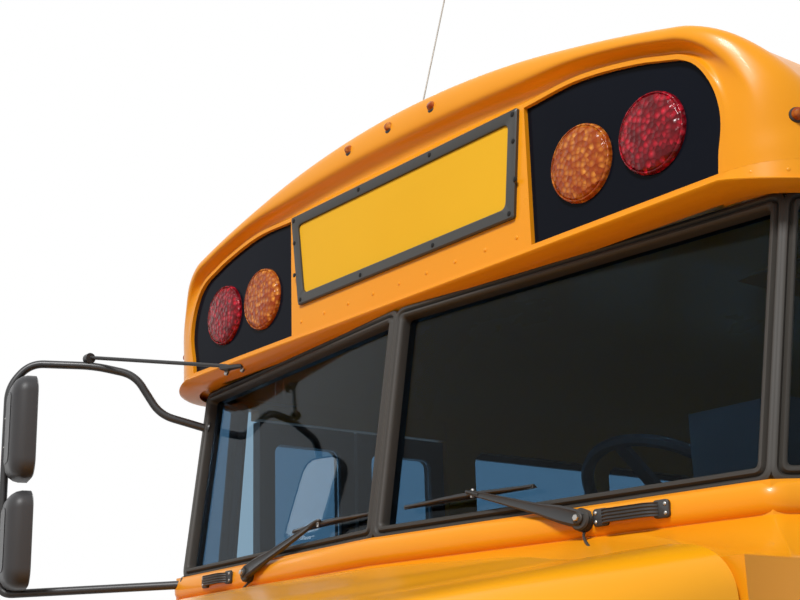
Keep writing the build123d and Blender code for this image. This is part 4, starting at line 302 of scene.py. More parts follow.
finish("antenna_white", (0.60, 0.59, 0.55), 0.4, second=(0.5, 0.49, 0.45), film=(1.2, 1, 0))
print(len(finishes), "finishes")

# %% [markdown]
# ## Glass and lamp lenses
# Vehicle glass is tinted right through, so the tint sits in the colour of a fully transmitting
# surface. A lens is coloured plastic over many small prisms: a cell pattern drives its bump, and it
# also lightens some cells towards a glint colour, a painted glint standing in for light caught in them.

# %% Glass and lenses
def glass(name, colour, roughness=0.0, **sockets):
    """Clear or tinted glass with a faint uneven film."""
    tree, shader, place = new_material(name)
    tone = place_group(tree, drift_group, place, Scale=1.5, Spread=1.5).outputs["Mask"]
    second = tuple(channel * 0.93 for channel in colour)
    tree.links.new(mix_colours(tree, tone, (*colour, 1), (*second, 1)), shader.inputs["Base Color"])
    set_sockets(shader, {"Roughness": roughness, "Transmission_Weight": 1.0})
    set_sockets(shader, sockets)


def lens(name, colour, glint_colour, cell):
    """Coloured lens plastic over a field of small prisms, cell metres across, with a painted glint: some
    cells lightened towards the glint colour.
    """
    tree, shader, place = new_material(name)
    cells = tree.nodes.new("ShaderNodeTexVoronoi")
    cells.inputs["Scale"].default_value = 1 / cell
    cells.inputs["Randomness"].default_value = 0.85
    tree.links.new(place, cells.inputs["Vector"])
    # painted glint: near the centres of randomly picked cells the base colour is lightened towards the glint
    # colour
    painted_glint = sum_node(tree, "POWER", sum_node(tree, "SUBTRACT", 1.0, cells.outputs["Distance"], clamp=True),
                     1.6)
    glint_cells = tree.nodes.new("ShaderNodeSeparateColor")
    tree.links.new(cells.outputs["Color"], glint_cells.inputs[0])
    mask = sum_node(tree, "MULTIPLY", painted_glint, sum_node(tree, "POWER", glint_cells.outputs[0], 1.2))
    tree.links.new(mix_colours(tree, mask, (*colour, 1), (*glint_colour, 1)), shader.inputs["Base Color"])
    add_bump(tree, shader, cells.outputs["Distance"], 0.3 * cell)
    set_sockets(shader,
                {"Roughness": 0.16, "Specular_IOR_Level": 0.15, "Coat_Weight": 0.12, "Coat_Roughness": 0.04})


glass("window_glass", (0.20, 0.33, 0.44), IOR=1.16)
glass("clear_lens", (0.90, 0.92, 0.93), roughness=0.05)
# the second colour of each lens is its painted glint colour
lens("amber_lens", (0.30, 0.040, 0.001), (1.0, 0.42, 0.06), 0.0130)
lens("red_lens", (0.11, 0.001, 0.004), (0.85, 0.02, 0.05), 0.0130)
lens("white_lens", (0.45, 0.46, 0.47), (1.0, 1.0, 1.0), 0.014)
for name, node in nodes.items():
    wanted = finishes[slot_of[name]]
    if not node.material_slots:
        node.data.materials.append(wanted)
    for holder in node.material_slots:
        holder.material = wanted
print("glass, lenses and", len(nodes), "frame nodes dressed")

# %% [markdown]
# ## Shapes to build with
# Every finer piece comes from a handful of shape makers. Each returns points and faces, so that
# several can be joined into one piece with more than one finish. The faces are turned outwards
# once, when the piece is made.

# %% Shape makers
def loft(rings, closed=True, ends=True):
    """A skin over rings of equal count; closed joins each ring's last point to its first."""
    count = len(rings[0])
    points = [Vector(point) for ring in rings for point in ring]
    faces = []
    for row in range(len(rings) - 1):
        for i in range(count if closed else count - 1):
            j = (i + 1) % count
            faces.append((row * count + i, row * count + j, (row + 1) * count + j, (row + 1) * count + i))
    if ends:
        last = (len(rings) - 1) * count
        faces.append(tuple(range(count - 1, -1, -1)))
        faces.append(tuple(range(last, last + count)))
    return points, faces


def axes_of(direction):
    """Two unit vectors square to a direction."""
    along = Vector(direction).normalized()
    helper = Vector((0, 0, 1)) if abs(along.z) < 0.9 else Vector((1, 0, 0))
    first = along.cross(helper).normalized()
    return first, along.cross(first).normalized()


def turned(profile, origin, direction, count=48):
    """A profile of (radius, distance) pairs turned about an axis; a radius of 0 closes it."""
    first, second = axes_of(direction)
    along = Vector(direction).normalized()
    rings = []
    for radius, distance in profile:
        centre = Vector(origin) + along * distance
        rings.append([centre
                      + (first * cos(2 * pi * i / count) + second * sin(2 * pi * i / count))
                      * max(radius, 1e-5)
                      for i in range(count)])
    return loft(rings)


def rounded_route(points, bend, steps=8):
    """A route with each corner rounded by an arc-like curve."""
    points = [Vector(p) for p in points]
    route = [points[0]]
    for before, corner, after in zip(points, points[1:], points[2:]):
        into = (before - corner).normalized()
        out = (after - corner).normalized()
        reach = min(bend, (before - corner).length / 2.1, (after - corner).length / 2.1)
        low, high = corner + into * reach, corner + out * reach
        for i in range(steps + 1):
            t = i / steps
            route.append(low * (1 - t) ** 2 + corner * 2 * t * (1 - t) + high * t ** 2)
    route.append(points[-1])
    return route


def tube(route, radius, count=16):
    """A round tube along a route, kept from twisting; radius may be one number or one per point."""
    route = [Vector(p) for p in route]
    radii = radius if isinstance(radius, (list, tuple)) else [radius] * len(route)
    first = axes_of(route[1] - route[0])[0]
    rings = []
    for i, (centre, size) in enumerate(zip(route, radii)):
        along = (route[min(i + 1, len(route) - 1)] - route[max(i - 1, 0)]).normalized()
        first = (first - along * first.dot(along)).normalized()
        second = along.cross(first)
        rings.append([centre + (first * cos(2 * pi * k / count) + second * sin(2 * pi * k / count)) * size
                      for k in range(count)])
    return loft(rings)


def slab(outline, origin, across, up, low, high):
    """A flat outline in a plane, given thickness along the plane's normal between two distances."""
    across, up = Vector(across).normalized(), Vector(up).normalized()
    normal = across.cross(up)
    rings = [[Vector(origin) + across * u + up * v + normal * depth for u, v in outline]
             for depth in (low, high)]
    return loft(rings)


def brick(centre, size, across=(1, 0, 0), up=(0, 0, 1)):
    """A box about a centre, as a slab, to be bevelled with its piece."""
    u, n, v = size[0] / 2, size[1] / 2, size[2] / 2
    return slab([(-u, -v), (u, -v), (u, v), (-u, v)], centre, across, up, -n, n)


def rounded_outline(width, tall, radius, steps=6):
    """A rectangle's outline with rounded corners, about its centre."""
    outline = []
    for x, z, begin in ((1, 1, 0), (-1, 1, 90), (-1, -1, 180), (1, -1, 270)):
        for i in range(steps + 1):
            angle = radians(begin + 90 * i / steps)
            outline.append((x * (width / 2 - radius) + radius * cos(angle),
                            z * (tall / 2 - radius) + radius * sin(angle)))
    return outline


print("shape makers ready")

# %% [markdown]
# ## Pieces
# A piece is a mesh on a body of the frame, with a soft bevel on its hard edges, because no real
# edge is knife sharp. Where it stands in for a frame node, that node is hidden. A frame node that
# already has the right form is copied, its loose triangles are merged, and it gets the same bevel.

# %% Piece makers
def in_scene(name, data):
    """A new object for some data, linked into the scene."""
    obj = bpy.data.objects.new(name, data)
    bpy.context.scene.collection.objects.link(obj)
    return obj


def finish_piece(obj, body, bevel, segments, smooth):
    """Smooth shading, a bevel on hard edges and a place on a body."""
    obj.data.shade_smooth()
    obj.data.set_sharp_from_angle(angle=radians(smooth))
    if bevel:
        modifier = obj.modifiers.new("Soft edges", "BEVEL")
        modifier.width = bevel
        modifier.segments = segments
        modifier.limit_method = "ANGLE"
        modifier.angle_limit = radians(smooth)
        modifier.harden_normals = False
        modifier.use_clamp_overlap = True
    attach(obj, body)
    return obj


def piece(name, body, parts, replaces=(), bevel=0.0, segments=2, smooth=38):
    """One mesh from (shape, finish name) pairs, on a body."""
    mesh = bpy.data.meshes.new(name)
    points, faces, indices, names = [], [], [], []
    for (part_points, part_faces), look in parts:
        if look not in names:
            names.append(look)
        start = len(points)
        points += part_points
        faces += [tuple(start + i for i in face) for face in part_faces]
        indices += [names.index(look)] * len(part_faces)
    mesh.from_pydata(points, [], faces)
    for look in names:
        mesh.materials.append(finishes[look])
    mesh.polygons.foreach_set("material_index", indices)
    work = bmesh.new()
    work.from_mesh(mesh)
    bmesh.ops.remove_doubles(work, verts=work.verts, dist=1e-6)
    bmesh.ops.recalc_face_normals(work, faces=work.faces)
    work.to_mesh(mesh)
    work.free()
    obj = in_scene(name, mesh)
    finish_piece(obj, body, bevel, segments, smooth)
    if replaces:
        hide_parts(*replaces)
    return obj


def refined(node_name, name, bevel=0.003, segments=2, smooth=30, look=None):
    """A merged, bevelled copy of a frame node in its place."""
    source = nodes[node_name]
    mesh = source.data.copy()
    mesh.name = name
    work = bmesh.new()
    work.from_mesh(mesh)
    bmesh.ops.remove_doubles(work, verts=work.verts, dist=2e-5)
    bmesh.ops.dissolve_limit(work, angle_limit=radians(1.0), verts=work.verts, edges=work.edges,
                             delimit={"MATERIAL"})
    work.to_mesh(mesh)
    work.free()
    obj = in_scene(name, mesh)
    if look:
        mesh.materials.clear()
        mesh.materials.append(finishes[look])
    body = body_of(source)
    if isinstance(body, (list, tuple)):
        body = body[0]
    finish_piece(obj, body, bevel, segments, smooth)
    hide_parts(node_name)
    return obj


print("piece makers ready")

# %% [markdown]
# ## Rivets and screws
# A rivet is a low dome, and a bus has hundreds. Geometry Nodes put one small dome on every vertex
# of a point mesh and turn it to the direction stored there. The result is made a plain mesh, one
# for each body, before it rides on anything.

# %% Studs on points
def stud_tree():
    """A tree that sets a domed stud on every vertex, facing along its stored direction."""
    tree = bpy.data.node_groups.new("Studs on points", "GeometryNodeTree")
    tree.interface.new_socket("Geometry", in_out="INPUT", socket_type="NodeSocketGeometry")
    for label, value in (("Radius", 0.006), ("Proud", 0.003)):
        tree.interface.new_socket(label, in_out="INPUT", socket_type="NodeSocketFloat").default_value = value
    tree.interface.new_socket("Sides", in_out="INPUT", socket_type="NodeSocketInt").default_value = 8
    tree.interface.new_socket("Material", in_out="INPUT", socket_type="NodeSocketMaterial")
    tree.interface.new_socket("Geometry", in_out="OUTPUT", socket_type="NodeSocketGeometry")
    start, end = tree.nodes.new("NodeGroupInput"), tree.nodes.new("NodeGroupOutput")
    dome = tree.nodes.new("GeometryNodeMeshUVSphere")
    dome.inputs["Rings"].default_value = 6
    size = tree.nodes.new("ShaderNodeCombineXYZ")
    shaped = tree.nodes.new("GeometryNodeTransform")
    smooth = tree.nodes.new("GeometryNodeSetShadeSmooth")
    facing = tree.nodes.new("GeometryNodeInputNamedAttribute")
    facing.data_type = "FLOAT_VECTOR"
    facing.inputs["Name"].default_value = "facing"
    turn = tree.nodes.new("FunctionNodeAlignRotationToVector")
    turn.axis = "Z"
    spread = tree.nodes.new("GeometryNodeInstanceOnPoints")
    solid = tree.nodes.new("GeometryNodeRealizeInstances")
    coat = tree.nodes.new("GeometryNodeSetMaterial")
    link = tree.links.new
    link(start.outputs["Sides"], dome.inputs["Segments"])
    for axis, source in (("X", "Radius"), ("Y", "Radius"), ("Z", "Proud")):
        link(start.outputs[source], size.inputs[axis])
    link(dome.outputs["Mesh"], shaped.inputs["Geometry"])
    link(size.outputs[0], shaped.inputs["Scale"])
    link(shaped.outputs["Geometry"], smooth.inputs["Geometry"])
    link(facing.outputs["Attribute"], turn.inputs["Vector"])
    link(start.outputs["Geometry"], spread.inputs["Points"])
    link(smooth.outputs["Geometry"], spread.inputs["Instance"])
    link(turn.outputs["Rotation"], spread.inputs["Rotation"])
    link(spread.outputs["Instances"], solid.inputs["Geometry"])
    link(solid.outputs["Geometry"], coat.inputs["Geometry"])
    link(start.outputs["Material"], coat.inputs["Material"])
    link(coat.outputs["Geometry"], end.inputs["Geometry"])
    return tree


def grown(name, mesh, tree, values, body):
    """Runs a tree on a mesh, keeps the result as a plain piece and puts it on a body."""
    holder = in_scene(name + "_points", mesh)
    modifier = holder.modifiers.new("Grow", "NODES")
    modifier.node_group = tree
    for item in tree.interface.items_tree:
        if item.item_type == "SOCKET" and item.in_out == "INPUT" and item.name in values:
            modifier[item.identifier] = values[item.name]
    bpy.context.view_layer.update()
    evaluated = holder.evaluated_get(bpy.context.evaluated_depsgraph_get())
    made = bpy.data.meshes.new_from_object(evaluated)
    bpy.data.objects.remove(holder)
    made.name = name
    obj = in_scene(name, made)
    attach(obj, body)
    return obj


STUDS = stud_tree()


def studs(name, body, spots, radius, proud, look, sides=8):
    """Domed studs at (place, direction) spots on one body."""
    mesh = bpy.data.meshes.new(name + "_spots")
    mesh.from_pydata([Vector(place) for place, _ in spots], [], [])
    facing = mesh.attributes.new("facing", "FLOAT_VECTOR", "POINT")
    facing.data.foreach_set("vector", [c for _, way in spots for c in Vector(way).normalized()])
    values = {"Radius": radius, "Proud": proud, "Sides": sides, "Material": finishes[look]}
    return grown(name, mesh, STUDS, values, body)


print("studs on points ready")

# %% [markdown]
# ## The bus section and the front cap
# The cap is one moulding: the roof's section carried forward, rolled over into a face. Over the
# middle the roll ends in a brim with a hollow under it, and towards the sides it opens into a
# broad pillar. A list of points draws the brim, a quarter round draws the roll of the pillars, and
# the two are blended along the arch. The face has a flat middle and a narrow strip round each of
# the two lamp panels, which are sunk into it. Below the face hangs a thin drooping visor.

# %% The bus section
LAMP_FACE_Y, LAMP_Z = -3.350, 2.740
HALF_WIDTH = 1.219
CORNER_X, CORNER_Z, CORNER_R = 0.869, 2.5978, 0.350
ROOF_CENTRE_Z, ROOF_R = -0.430, 3.500
MEET = 73.98
CAP_BACK, CAP_FACE, CAP_FOOT = 0.420, -0.012, -0.150


def arch(steps_corner=26, steps_roof=64):
    """Points of the section from the right foot over the roof to the left: x, z, normal and its angle."""
    rows = [(HALF_WIDTH, LAMP_Z + CAP_FOOT, 1.0, 0.0, 0.0)]
    for i in range(steps_corner):
        angle = MEET * i / steps_corner
        c, s = cos(radians(angle)), sin(radians(angle))
        rows.append((CORNER_X + CORNER_R * c, CORNER_Z + CORNER_R * s, c, s, angle))
    for i in range(steps_roof // 2 + 1):
        angle = MEET + (90 - MEET) * i / (steps_roof // 2)
        c, s = cos(radians(angle)), sin(radians(angle))
        rows.append((ROOF_R * c, ROOF_CENTRE_Z + ROOF_R * s, c, s, angle))
    return rows + [(-x, z, -nx, nz, angle) for x, z, nx, nz, angle in reversed(rows[:-1])]


def through(points, per_span=4):
    """More points along a smooth curve through the given ones."""
    ends = [points[0]] + list(points) + [points[-1]]
    made = []
    for i in range(1, len(ends) - 2):
        a, b, c, d = ends[i - 1:i + 3]
        for k in range(per_span):
            t = k / per_span
            made.append(tuple(
                0.5 * (2 * q + (r - p) * t + (2 * p - 5 * q + 4 * r - s) * t * t
                       + (3 * q - p - 3 * r + s) * t ** 3)
                for p, q, r, s in zip(a, b, c, d)
            ))
    return made + [tuple(points[-1])]


def table_value(table, key):
    """A value read from a short table of (key, value), along a smooth curve through its rows."""
    fine = through(table, 8)
    for (low, first), (high, second) in zip(fine, fine[1:]):
        if low <= key <= high and high > low:
            return first + (second - first) * (key - low) / (high - low)
    return fine[-1][1] if key > fine[-1][0] else fine[0][1]


print(len(arch()), "points on the section")

# %% Front cap
# share of the band, place behind the lamp face: the crown's brim and hollow
CROWN_BAND = ((0, 0.040), (-0.12, 0.018), (-0.16, -0.004), (-0.10, -0.020), (0.06, -0.030), (0.28, -0.035),
              (0.46, -0.035), (0.56, -0.028), (0.65, -0.012), (0.76, -0.002), (0.90, 0.000), (1, CAP_FACE))
# angle of the arch, width of the band between the crest and the face
BAND_WIDTH = ((0, 0.180), (15, 0.168), (34, 0.126), (52, 0.086), (64, 0.062), (74, 0.052), (76, 0.050),
              (79, 0.061), (82, 0.095), (86, 0.118), (90, 0.128))
BRIM_FADE = ((12, 0.0), (40, 0.30), (58, 0.72), (72, 1.0))
VISOR_LIP = ((0, -0.150), (0.004, -0.154), (0.012, -0.1565), (0.021, -0.158), (0.0235, -0.161),
             (0.022, -0.1645), (0.014, -0.170), (0.002, -0.178), (-0.012, -0.186), (-0.050, -0.188))
PANEL_IN, PANEL_X, PANEL_FOOT, PANEL_SINK = 0.0110, 0.487, -0.1485, 0.012


def face_edge(extra=0.0):
    """The line where the cap's band meets its face, drawn in by an extra margin."""
    line = []
    for x, z, nx, nz, angle in arch():
        inset = table_value(BAND_WIDTH, angle) + extra
        line.append((x - nx * inset, z - nz * inset))
    return line


crown = through(CROWN_BAND)
rows = arch()
rings = [[(x, LAMP_FACE_Y + CAP_BACK, z) for x, z, *_ in rows]]
for i, (share, depth) in enumerate(crown):
    phi = pi / 2 * i / (len(crown) - 1)
    ring = []
    for x, z, nx, nz, angle in rows:
        width = table_value(BAND_WIDTH, angle)
        brim = table_value(BRIM_FADE, angle)
        inset = width * (share * brim + (1 - cos(phi)) * (1 - brim))
        rolled = CAP_FACE + width * (1 - sin(phi))
        ring.append((x - nx * inset, LAMP_FACE_Y + depth * brim + rolled * (1 - brim), z - nz * inset))
    rings.append(ring)
cap_skin = loft(rings, closed=False, ends=False)


def panel_outline(side):
    """A lamp panel's outline on the cap's face: along the band, then down and back along its foot."""
    line = [(side * x, z) for x, z in face_edge(PANEL_IN) if x > PANEL_X]
    start_z = table_value([(x, z) for x, z in reversed(face_edge(PANEL_IN)) if x > 0], PANEL_X)
    return [(side * PANEL_X, LAMP_Z + PANEL_FOOT), (line[0][0], LAMP_Z + PANEL_FOOT)] + line[1:] + [
        (side * PANEL_X, start_z)]


def flat_face(outlines, depth):
    """A flat polygon with openings at a depth behind the lamp face."""
    loops = [[Vector((x, LAMP_FACE_Y + depth, z)) for x, z in outline] for outline in outlines]
    triangles = tessellate_polygon([[Vector((p.x, p.z, 0)) for p in loop] for loop in loops])
    return [p for loop in loops for p in loop], [tuple(t) for t in triangles]


def rim_wall(outline, front, back):
    """The wall of a recess along a closed outline."""
    return loft([[(x, LAMP_FACE_Y + depth, z) for x, z in outline] for depth in (front, back)], ends=False)


def at_panel_start(line):
    """The point of a line, run from the crown outwards, where the panels start."""
    return PANEL_X, table_value([(x, z) for x, z in reversed(line) if 0 < x < 0.9], PANEL_X)


def panel_rim(side):
    """The yellow strip round one panel, between the band's edge and the panel's outline."""
    outer, inner = face_edge(), face_edge(PANEL_IN)
    pairs = [(a, b) for a, b in zip(outer, inner) if b[0] > PANEL_X]
    pairs[0] = ((pairs[0][0][0], LAMP_Z + CAP_FOOT), (pairs[0][1][0], LAMP_Z + PANEL_FOOT))
    pairs.append((at_panel_start(outer), at_panel_start(inner)))
    pairs.insert(0, ((PANEL_X, LAMP_Z + CAP_FOOT), (PANEL_X, LAMP_Z + PANEL_FOOT)))
    rows = [[(side * x, LAMP_FACE_Y + CAP_FACE, z) for x, z in line] for line in zip(*pairs)]
    return loft(rows, closed=False, ends=False)


middle = [(x, z) for x, z in face_edge() if abs(x) < PANEL_X]
top_x, top_z = at_panel_start(face_edge())
panels = [panel_outline(side) for side in (1, -1)]
middle_face = [(-PANEL_X, LAMP_Z + CAP_FOOT), (PANEL_X, LAMP_Z + CAP_FOOT),
               (top_x, top_z)] + middle + [(-top_x, top_z)]


def cap_plan(offset):
    """The cap's plan at its foot from right to left: back edge, side, rolled corner and front."""
    roll = BAND_WIDTH[0][1]
    line = [(HALF_WIDTH + offset, CAP_BACK), (HALF_WIDTH + offset, CAP_FACE + roll)]
    centre = (HALF_WIDTH - roll, CAP_FACE + roll)
    for i in range(1, 15):
        angle = radians(-90 * i / 14)
        line.append((centre[0] + (roll + offset) * cos(angle), centre[1] + (roll + offset) * sin(angle)))
    return line + [(-x, y) for x, y in reversed(line)]


DROOP_FROM, DROOP = 0.95, 0.024


def droop(x):
    """How far the visor hangs down towards its corners."""
    k = min(1.0, max(0.0, (abs(x) - DROOP_FROM) / (HALF_WIDTH - DROOP_FROM)))
    return DROOP * k * k * (3 - 2 * k)


def flared(out):
    """The cap's plan let out by the visor's flare, which fades round the corners."""
    for (x, y), (wide_x, wide_y) in zip(cap_plan(0), cap_plan(out)):
        keep = 1 - 0.55 * droop(x) / DROOP if out > 0 else 1.0
        yield x + (wide_x - x) * keep, y + (wide_y - y) * keep


def lip_drop(x, height):
    """The droop of one row of the lip, more at its top, so the lip thins round the corner."""
    return droop(x) * (1.7 - 0.9 * (VISOR_LIP[0][1] - height) / 0.038)


visor = loft([[(x, LAMP_FACE_Y + y, LAMP_Z + height - (lip_drop(x, height) if out else 0))
               for x, y in flared(out)]
              for out, height in VISOR_LIP], closed=False, ends=False)
cap_parts = [(cap_skin, "body_yellow"), (visor, "body_yellow"),
             (flat_face([middle_face], CAP_FACE), "body_yellow"),
             (panel_rim(1), "body_yellow"), (panel_rim(-1), "body_yellow")]
for outline in panels:
    cap_parts.append((rim_wall(outline, CAP_FACE, CAP_FACE + PANEL_SINK), "body_yellow"))
    cap_parts.append((flat_face([outline], CAP_FACE + PANEL_SINK), "panel_black"))
cap = piece("cap_moulding", "bus_body", cap_parts, replaces=("front_cap",), bevel=0.0015, smooth=34)
print("cap:", len(cap.data.polygons), "faces")

# %% [markdown]
# ## Warning lamps
# Each lamp is a shallow round lens inside a thin rim of its own colour. Both are turned from a
# profile, and the prisms come from the lens finish. The rear has the same lamps, and two pairs of
# tail lamps lower down.

# %% Warning lamps
LAMP_X = {"amber": 0.650, "red": 0.859}
REAR_HIGH_Z, REAR_LOW_X = 2.690, 0.900
REAR_LOW_Z = {"amber": 1.060, "red": 1.290}
REAR_LAMP_DEPTH = 0.018
LAMP_SIDES = 56
LENS_PROFILE = ((0, 0.0210), (0.030, 0.0206), (0.055, 0.0192), (0.072, 0.0168), (0.081, 0.0138),
                (0.0848, 0.0100), (0.0850, 0))
RIM_PROFILE = ((0.0849, 0), (0.0849, 0.0095), (0.0860, 0.0112), (0.0880, 0.0110), (0.0898, 0.0085),
               (0.0912, 0.002), (0.0915, 0))


def round_lamp(place, direction, lens_name, scale=1.0):
    """The lens and the rim of one round lamp."""
    lens_points = [(r * scale, d) for r, d in LENS_PROFILE]
    rim_points = [(r * scale, d) for r, d in RIM_PROFILE]
    return [(turned(points, place, direction, LAMP_SIDES), lens_name) for points in (lens_points, rim_points)]


for colour, x in LAMP_X.items():
    parts = []
    for side in (1, -1):
        parts += round_lamp((side * x, LAMP_FACE_Y + CAP_FACE + PANEL_SINK, LAMP_Z), (0, -1, 0),
                            f"{colour}_lens")
    back_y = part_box(f"{colour}_lamps")[1].y - REAR_LAMP_DEPTH
    for side in (1, -1):
        for place_x, place_z in ((x, REAR_HIGH_Z), (REAR_LOW_X, REAR_LOW_Z[colour])):
            parts += round_lamp((side * place_x, back_y, place_z), (0, 1, 0), f"{colour}_lens")
    piece(f"{colour}_lamp_set", "bus_body", parts, replaces=(f"{colour}_lamps",), smooth=50)
print("lamps at", LAMP_X)

# %% [markdown]
# ## Small lamps and rivets of the cap
# Three small amber lamps sit on the brim over the sign and one on each flank. A row of rivets
# runs along the band under the sign, and two more sit on each rolled corner.

# %% Small lamps and rivets
ROW_LAMPS = [((s * 0.176, LAMP_FACE_Y - 0.026, LAMP_Z + h), (0, -0.80, 0.60))
             for s, h in ((-1, 0.300), (0, 0.305), (1, 0.300))]
FLANK_LAMPS = [((s * 1.1775, LAMP_FACE_Y + 0.057, LAMP_Z - 0.058), (s * 0.78, -0.62, 0)) for s in (1, -1)]
SMALL_BASE = ((0, 0.004), (0.0150, 0.004), (0.0170, 0.001), (0.0170, -0.010))
SMALL_LENS = ((0, 0.0185), (0.006, 0.0178), (0.0105, 0.0148), (0.0125, 0.010), (0.0128, 0.003))
ROW_RIVET_X = [-0.44 + 0.11 * i for i in range(9)]
ROW_RIVET_DROP = 0.118
# angle round the rolled corner, distance below the lamps' centres
CORNER_RIVETS = ((19, 0.166), (42, 0.172))
small_parts = []
for place, way in ROW_LAMPS + FLANK_LAMPS:
    small_parts.append((turned(SMALL_BASE, place, way, 24), "black_plastic"))
    small_parts.append((turned(SMALL_LENS, place, way, 24), "amber_lens"))
piece("small_lamps", "bus_body", small_parts, smooth=50)
rivets = [((x, LAMP_FACE_Y + CAP_FACE, LAMP_Z - ROW_RIVET_DROP), (0, -1, 0)) for x in ROW_RIVET_X]
roll = BAND_WIDTH[0][1]
for side in (1, -1):
    for angle, drop in CORNER_RIVETS:
        way = (side * sin(radians(angle)), -cos(radians(angle)), 0)
        x = side * (HALF_WIDTH - roll) + way[0] * roll
        y = LAMP_FACE_Y + CAP_FACE + roll + way[1] * roll
        rivets.append(((x, y, LAMP_Z - drop), way))
studs("cap_rivets", "bus_body", rivets, 0.0055, 0.0022, "body_yellow")
print(len(rivets), "rivets on the cap")

# %% [markdown]
# ## Sign boards
# A sign is a blank yellow panel behind a thick charcoal frame with rounded inner corners, held by
# screws through the frame. The frame is a ring lofted over six outlines, from the body out to its
# face and back in to the panel. The front and the rear sign have the same shape, turned about.

# %% Sign outlines
SIGN_HALF_TOP, SIGN_HALF_FOOT, SIGN_HEAD, SIGN_FOOT = 0.473, 0.442, 0.195, -0.071


def drawn_in(corners, margin, radius, steps=6):
    """A convex outline drawn in by a margin, with its corners eased over a radius."""
    area = sum(a[0] * b[1] - b[0] * a[1] for a, b in zip(corners, corners[1:] + corners[:1]))
    turn = 1 if area > 0 else -1
    moved = []
    for a, b in zip(corners, corners[1:] + corners[:1]):
        length = hypot(b[0] - a[0], b[1] - a[1])
        nx, ny = -(b[1] - a[1]) / length * turn, (b[0] - a[0]) / length * turn
        moved.append(((a[0] + nx * margin, a[1] + ny * margin), (b[0] - a[0], b[1] - a[1])))
    made = []
    for (p, d), (q, e) in zip(moved[-1:] + moved[:-1], moved):
        cross = d[0] * e[1] - d[1] * e[0]
        t = ((q[0] - p[0]) * e[1] - (q[1] - p[1]) * e[0]) / cross
        made.append(Vector((p[0] + d[0] * t, p[1] + d[1] * t)))
    line = []
    for before, corner, after in zip(made[-1:] + made[:-1], made, made[1:] + made[:1]):
        low = corner + (before - corner).normalized() * radius
        high = corner + (after - corner).normalized() * radius
        for i in range(steps + 1):
            t = i / steps
            line.append(low * (1 - t) ** 2 + corner * 2 * t * (1 - t) + high * t ** 2)
    return [(p.x, p.y) for p in line]


def ring_on_plane(outlines, origin, across, up):
    """A skin over outlines of equal count, each with its own distance out of a plane."""
    across, up = Vector(across).normalized(), Vector(up).normalized()
    normal = across.cross(up)
    return loft([[Vector(origin) + across * u + up * v + normal * out for u, v in line]
                 for line, out in outlines], ends=False)


def sheet_on_plane(line, out, origin, across, up):
    """One flat face in a plane."""
    across, up = Vector(across).normalized(), Vector(up).normalized()
    normal = across.cross(up)
    return [Vector(origin) + across * u + up * v + normal * out for u, v in line], [tuple(range(len(line)))]


print("sign", round(2 * SIGN_HALF_TOP, 3), "m wide")

# %% Sign boards
SIGN_SHAPE = [(-SIGN_HALF_FOOT, SIGN_FOOT), (SIGN_HALF_FOOT, SIGN_FOOT), (SIGN_HALF_TOP, SIGN_HEAD),
              (-SIGN_HALF_TOP, SIGN_HEAD)]
FRAME_RINGS = ((0.000, 0.006, -0.004), (0.000, 0.006, 0.008), (0.003, 0.008, 0.011), (0.026, 0.016, 0.011),
               (0.029, 0.018, 0.009), (0.030, 0.018, 0.002))
SCREW_SPOTS = [(s * (SIGN_HALF_FOOT - 0.013), SIGN_FOOT + 0.013) for s in (1, -1)] + [
    (s * (SIGN_HALF_TOP - 0.015), SIGN_HEAD - 0.013) for s in (1, -1)] + [
    (s * 0.4555, z) for s in (1, -1) for z in (0.020, 0.115)] + [
    (s * 0.150, z) for s in (1, -1) for z in (SIGN_HEAD - 0.013, SIGN_FOOT + 0.013)]


REAR_SIGN_Y, REAR_SIGN_Z = 5.300, 2.700
# place along Y, height of the lamp line and the way the sign faces
SIGN_PLACES = ((LAMP_FACE_Y + CAP_FACE, LAMP_Z, -1),
               (REAR_SIGN_Y, REAR_SIGN_Z - (SIGN_HEAD + SIGN_FOOT) / 2, 1))


def screw_head(place, direction, radius=0.0065, proud=0.003):
    """A low domed screw head."""
    profile = [(0, proud), (radius * 0.55, proud * 0.9), (radius * 0.9, proud * 0.5), (radius, 0)]
    return turned(profile, place, direction, 12)


sign_parts = []
for place_y, place_z, face in SIGN_PLACES:
    origin, across = (0, place_y, place_z), (-face, 0, 0)
    rings = [(drawn_in(SIGN_SHAPE, margin, radius), out) for margin, radius, out in FRAME_RINGS]
    sign_parts.append((ring_on_plane(rings, origin, across, (0, 0, 1)), "frame_charcoal"))
    sign_parts.append((sheet_on_plane(rings[-1][0], 0.004, origin, across, (0, 0, 1)), "sign_yellow"))
    for u, v in SCREW_SPOTS:
        sign_parts.append((screw_head((u, place_y + face * 0.011, place_z + v), (0, face, 0)), "screw_black"))
signs = piece("blank_sign_boards", "bus_body", sign_parts, replaces=("sign_boards",), smooth=30)
print("signs:", len(signs.data.polygons), "faces")

# %% [markdown]
# ## Windshield
# Four flat panes stand on two lines in plan, one at the foot and one at the head. The rubber round
# each pane has two ridges and a valley between them, so its section is drawn once as margins and
# heights and carried round every pane's outline. The frame behind it is black.

# %% Windshield planes
SHIELD_FOOT, SHIELD_HEAD = -0.770, -0.190
SHIELD_HALF = (1.075, 1.105)
SHIELD_Y, SHIELD_RAKE, SWEEP, CORNER_SWEEP = -0.110, 0.095, 0.0977, 1.528


def shield_line(side, share, out=0.0):
    """The windshield's line on one side at a share of its height: centre, corner and body side."""
    half = SHIELD_HALF[0] + (SHIELD_HALF[1] - SHIELD_HALF[0]) * share
    y = SHIELD_Y + SHIELD_RAKE * share
    corner_y = y + half * SWEEP
    side_y = corner_y + (HALF_WIDTH - half) * CORNER_SWEEP
    z = LAMP_Z + SHIELD_FOOT + (SHIELD_HEAD - SHIELD_FOOT) * share
    return [Vector((side * px, LAMP_FACE_Y + py, z))
            for px, py in ((0, y), (half, corner_y), (HALF_WIDTH, side_y))]


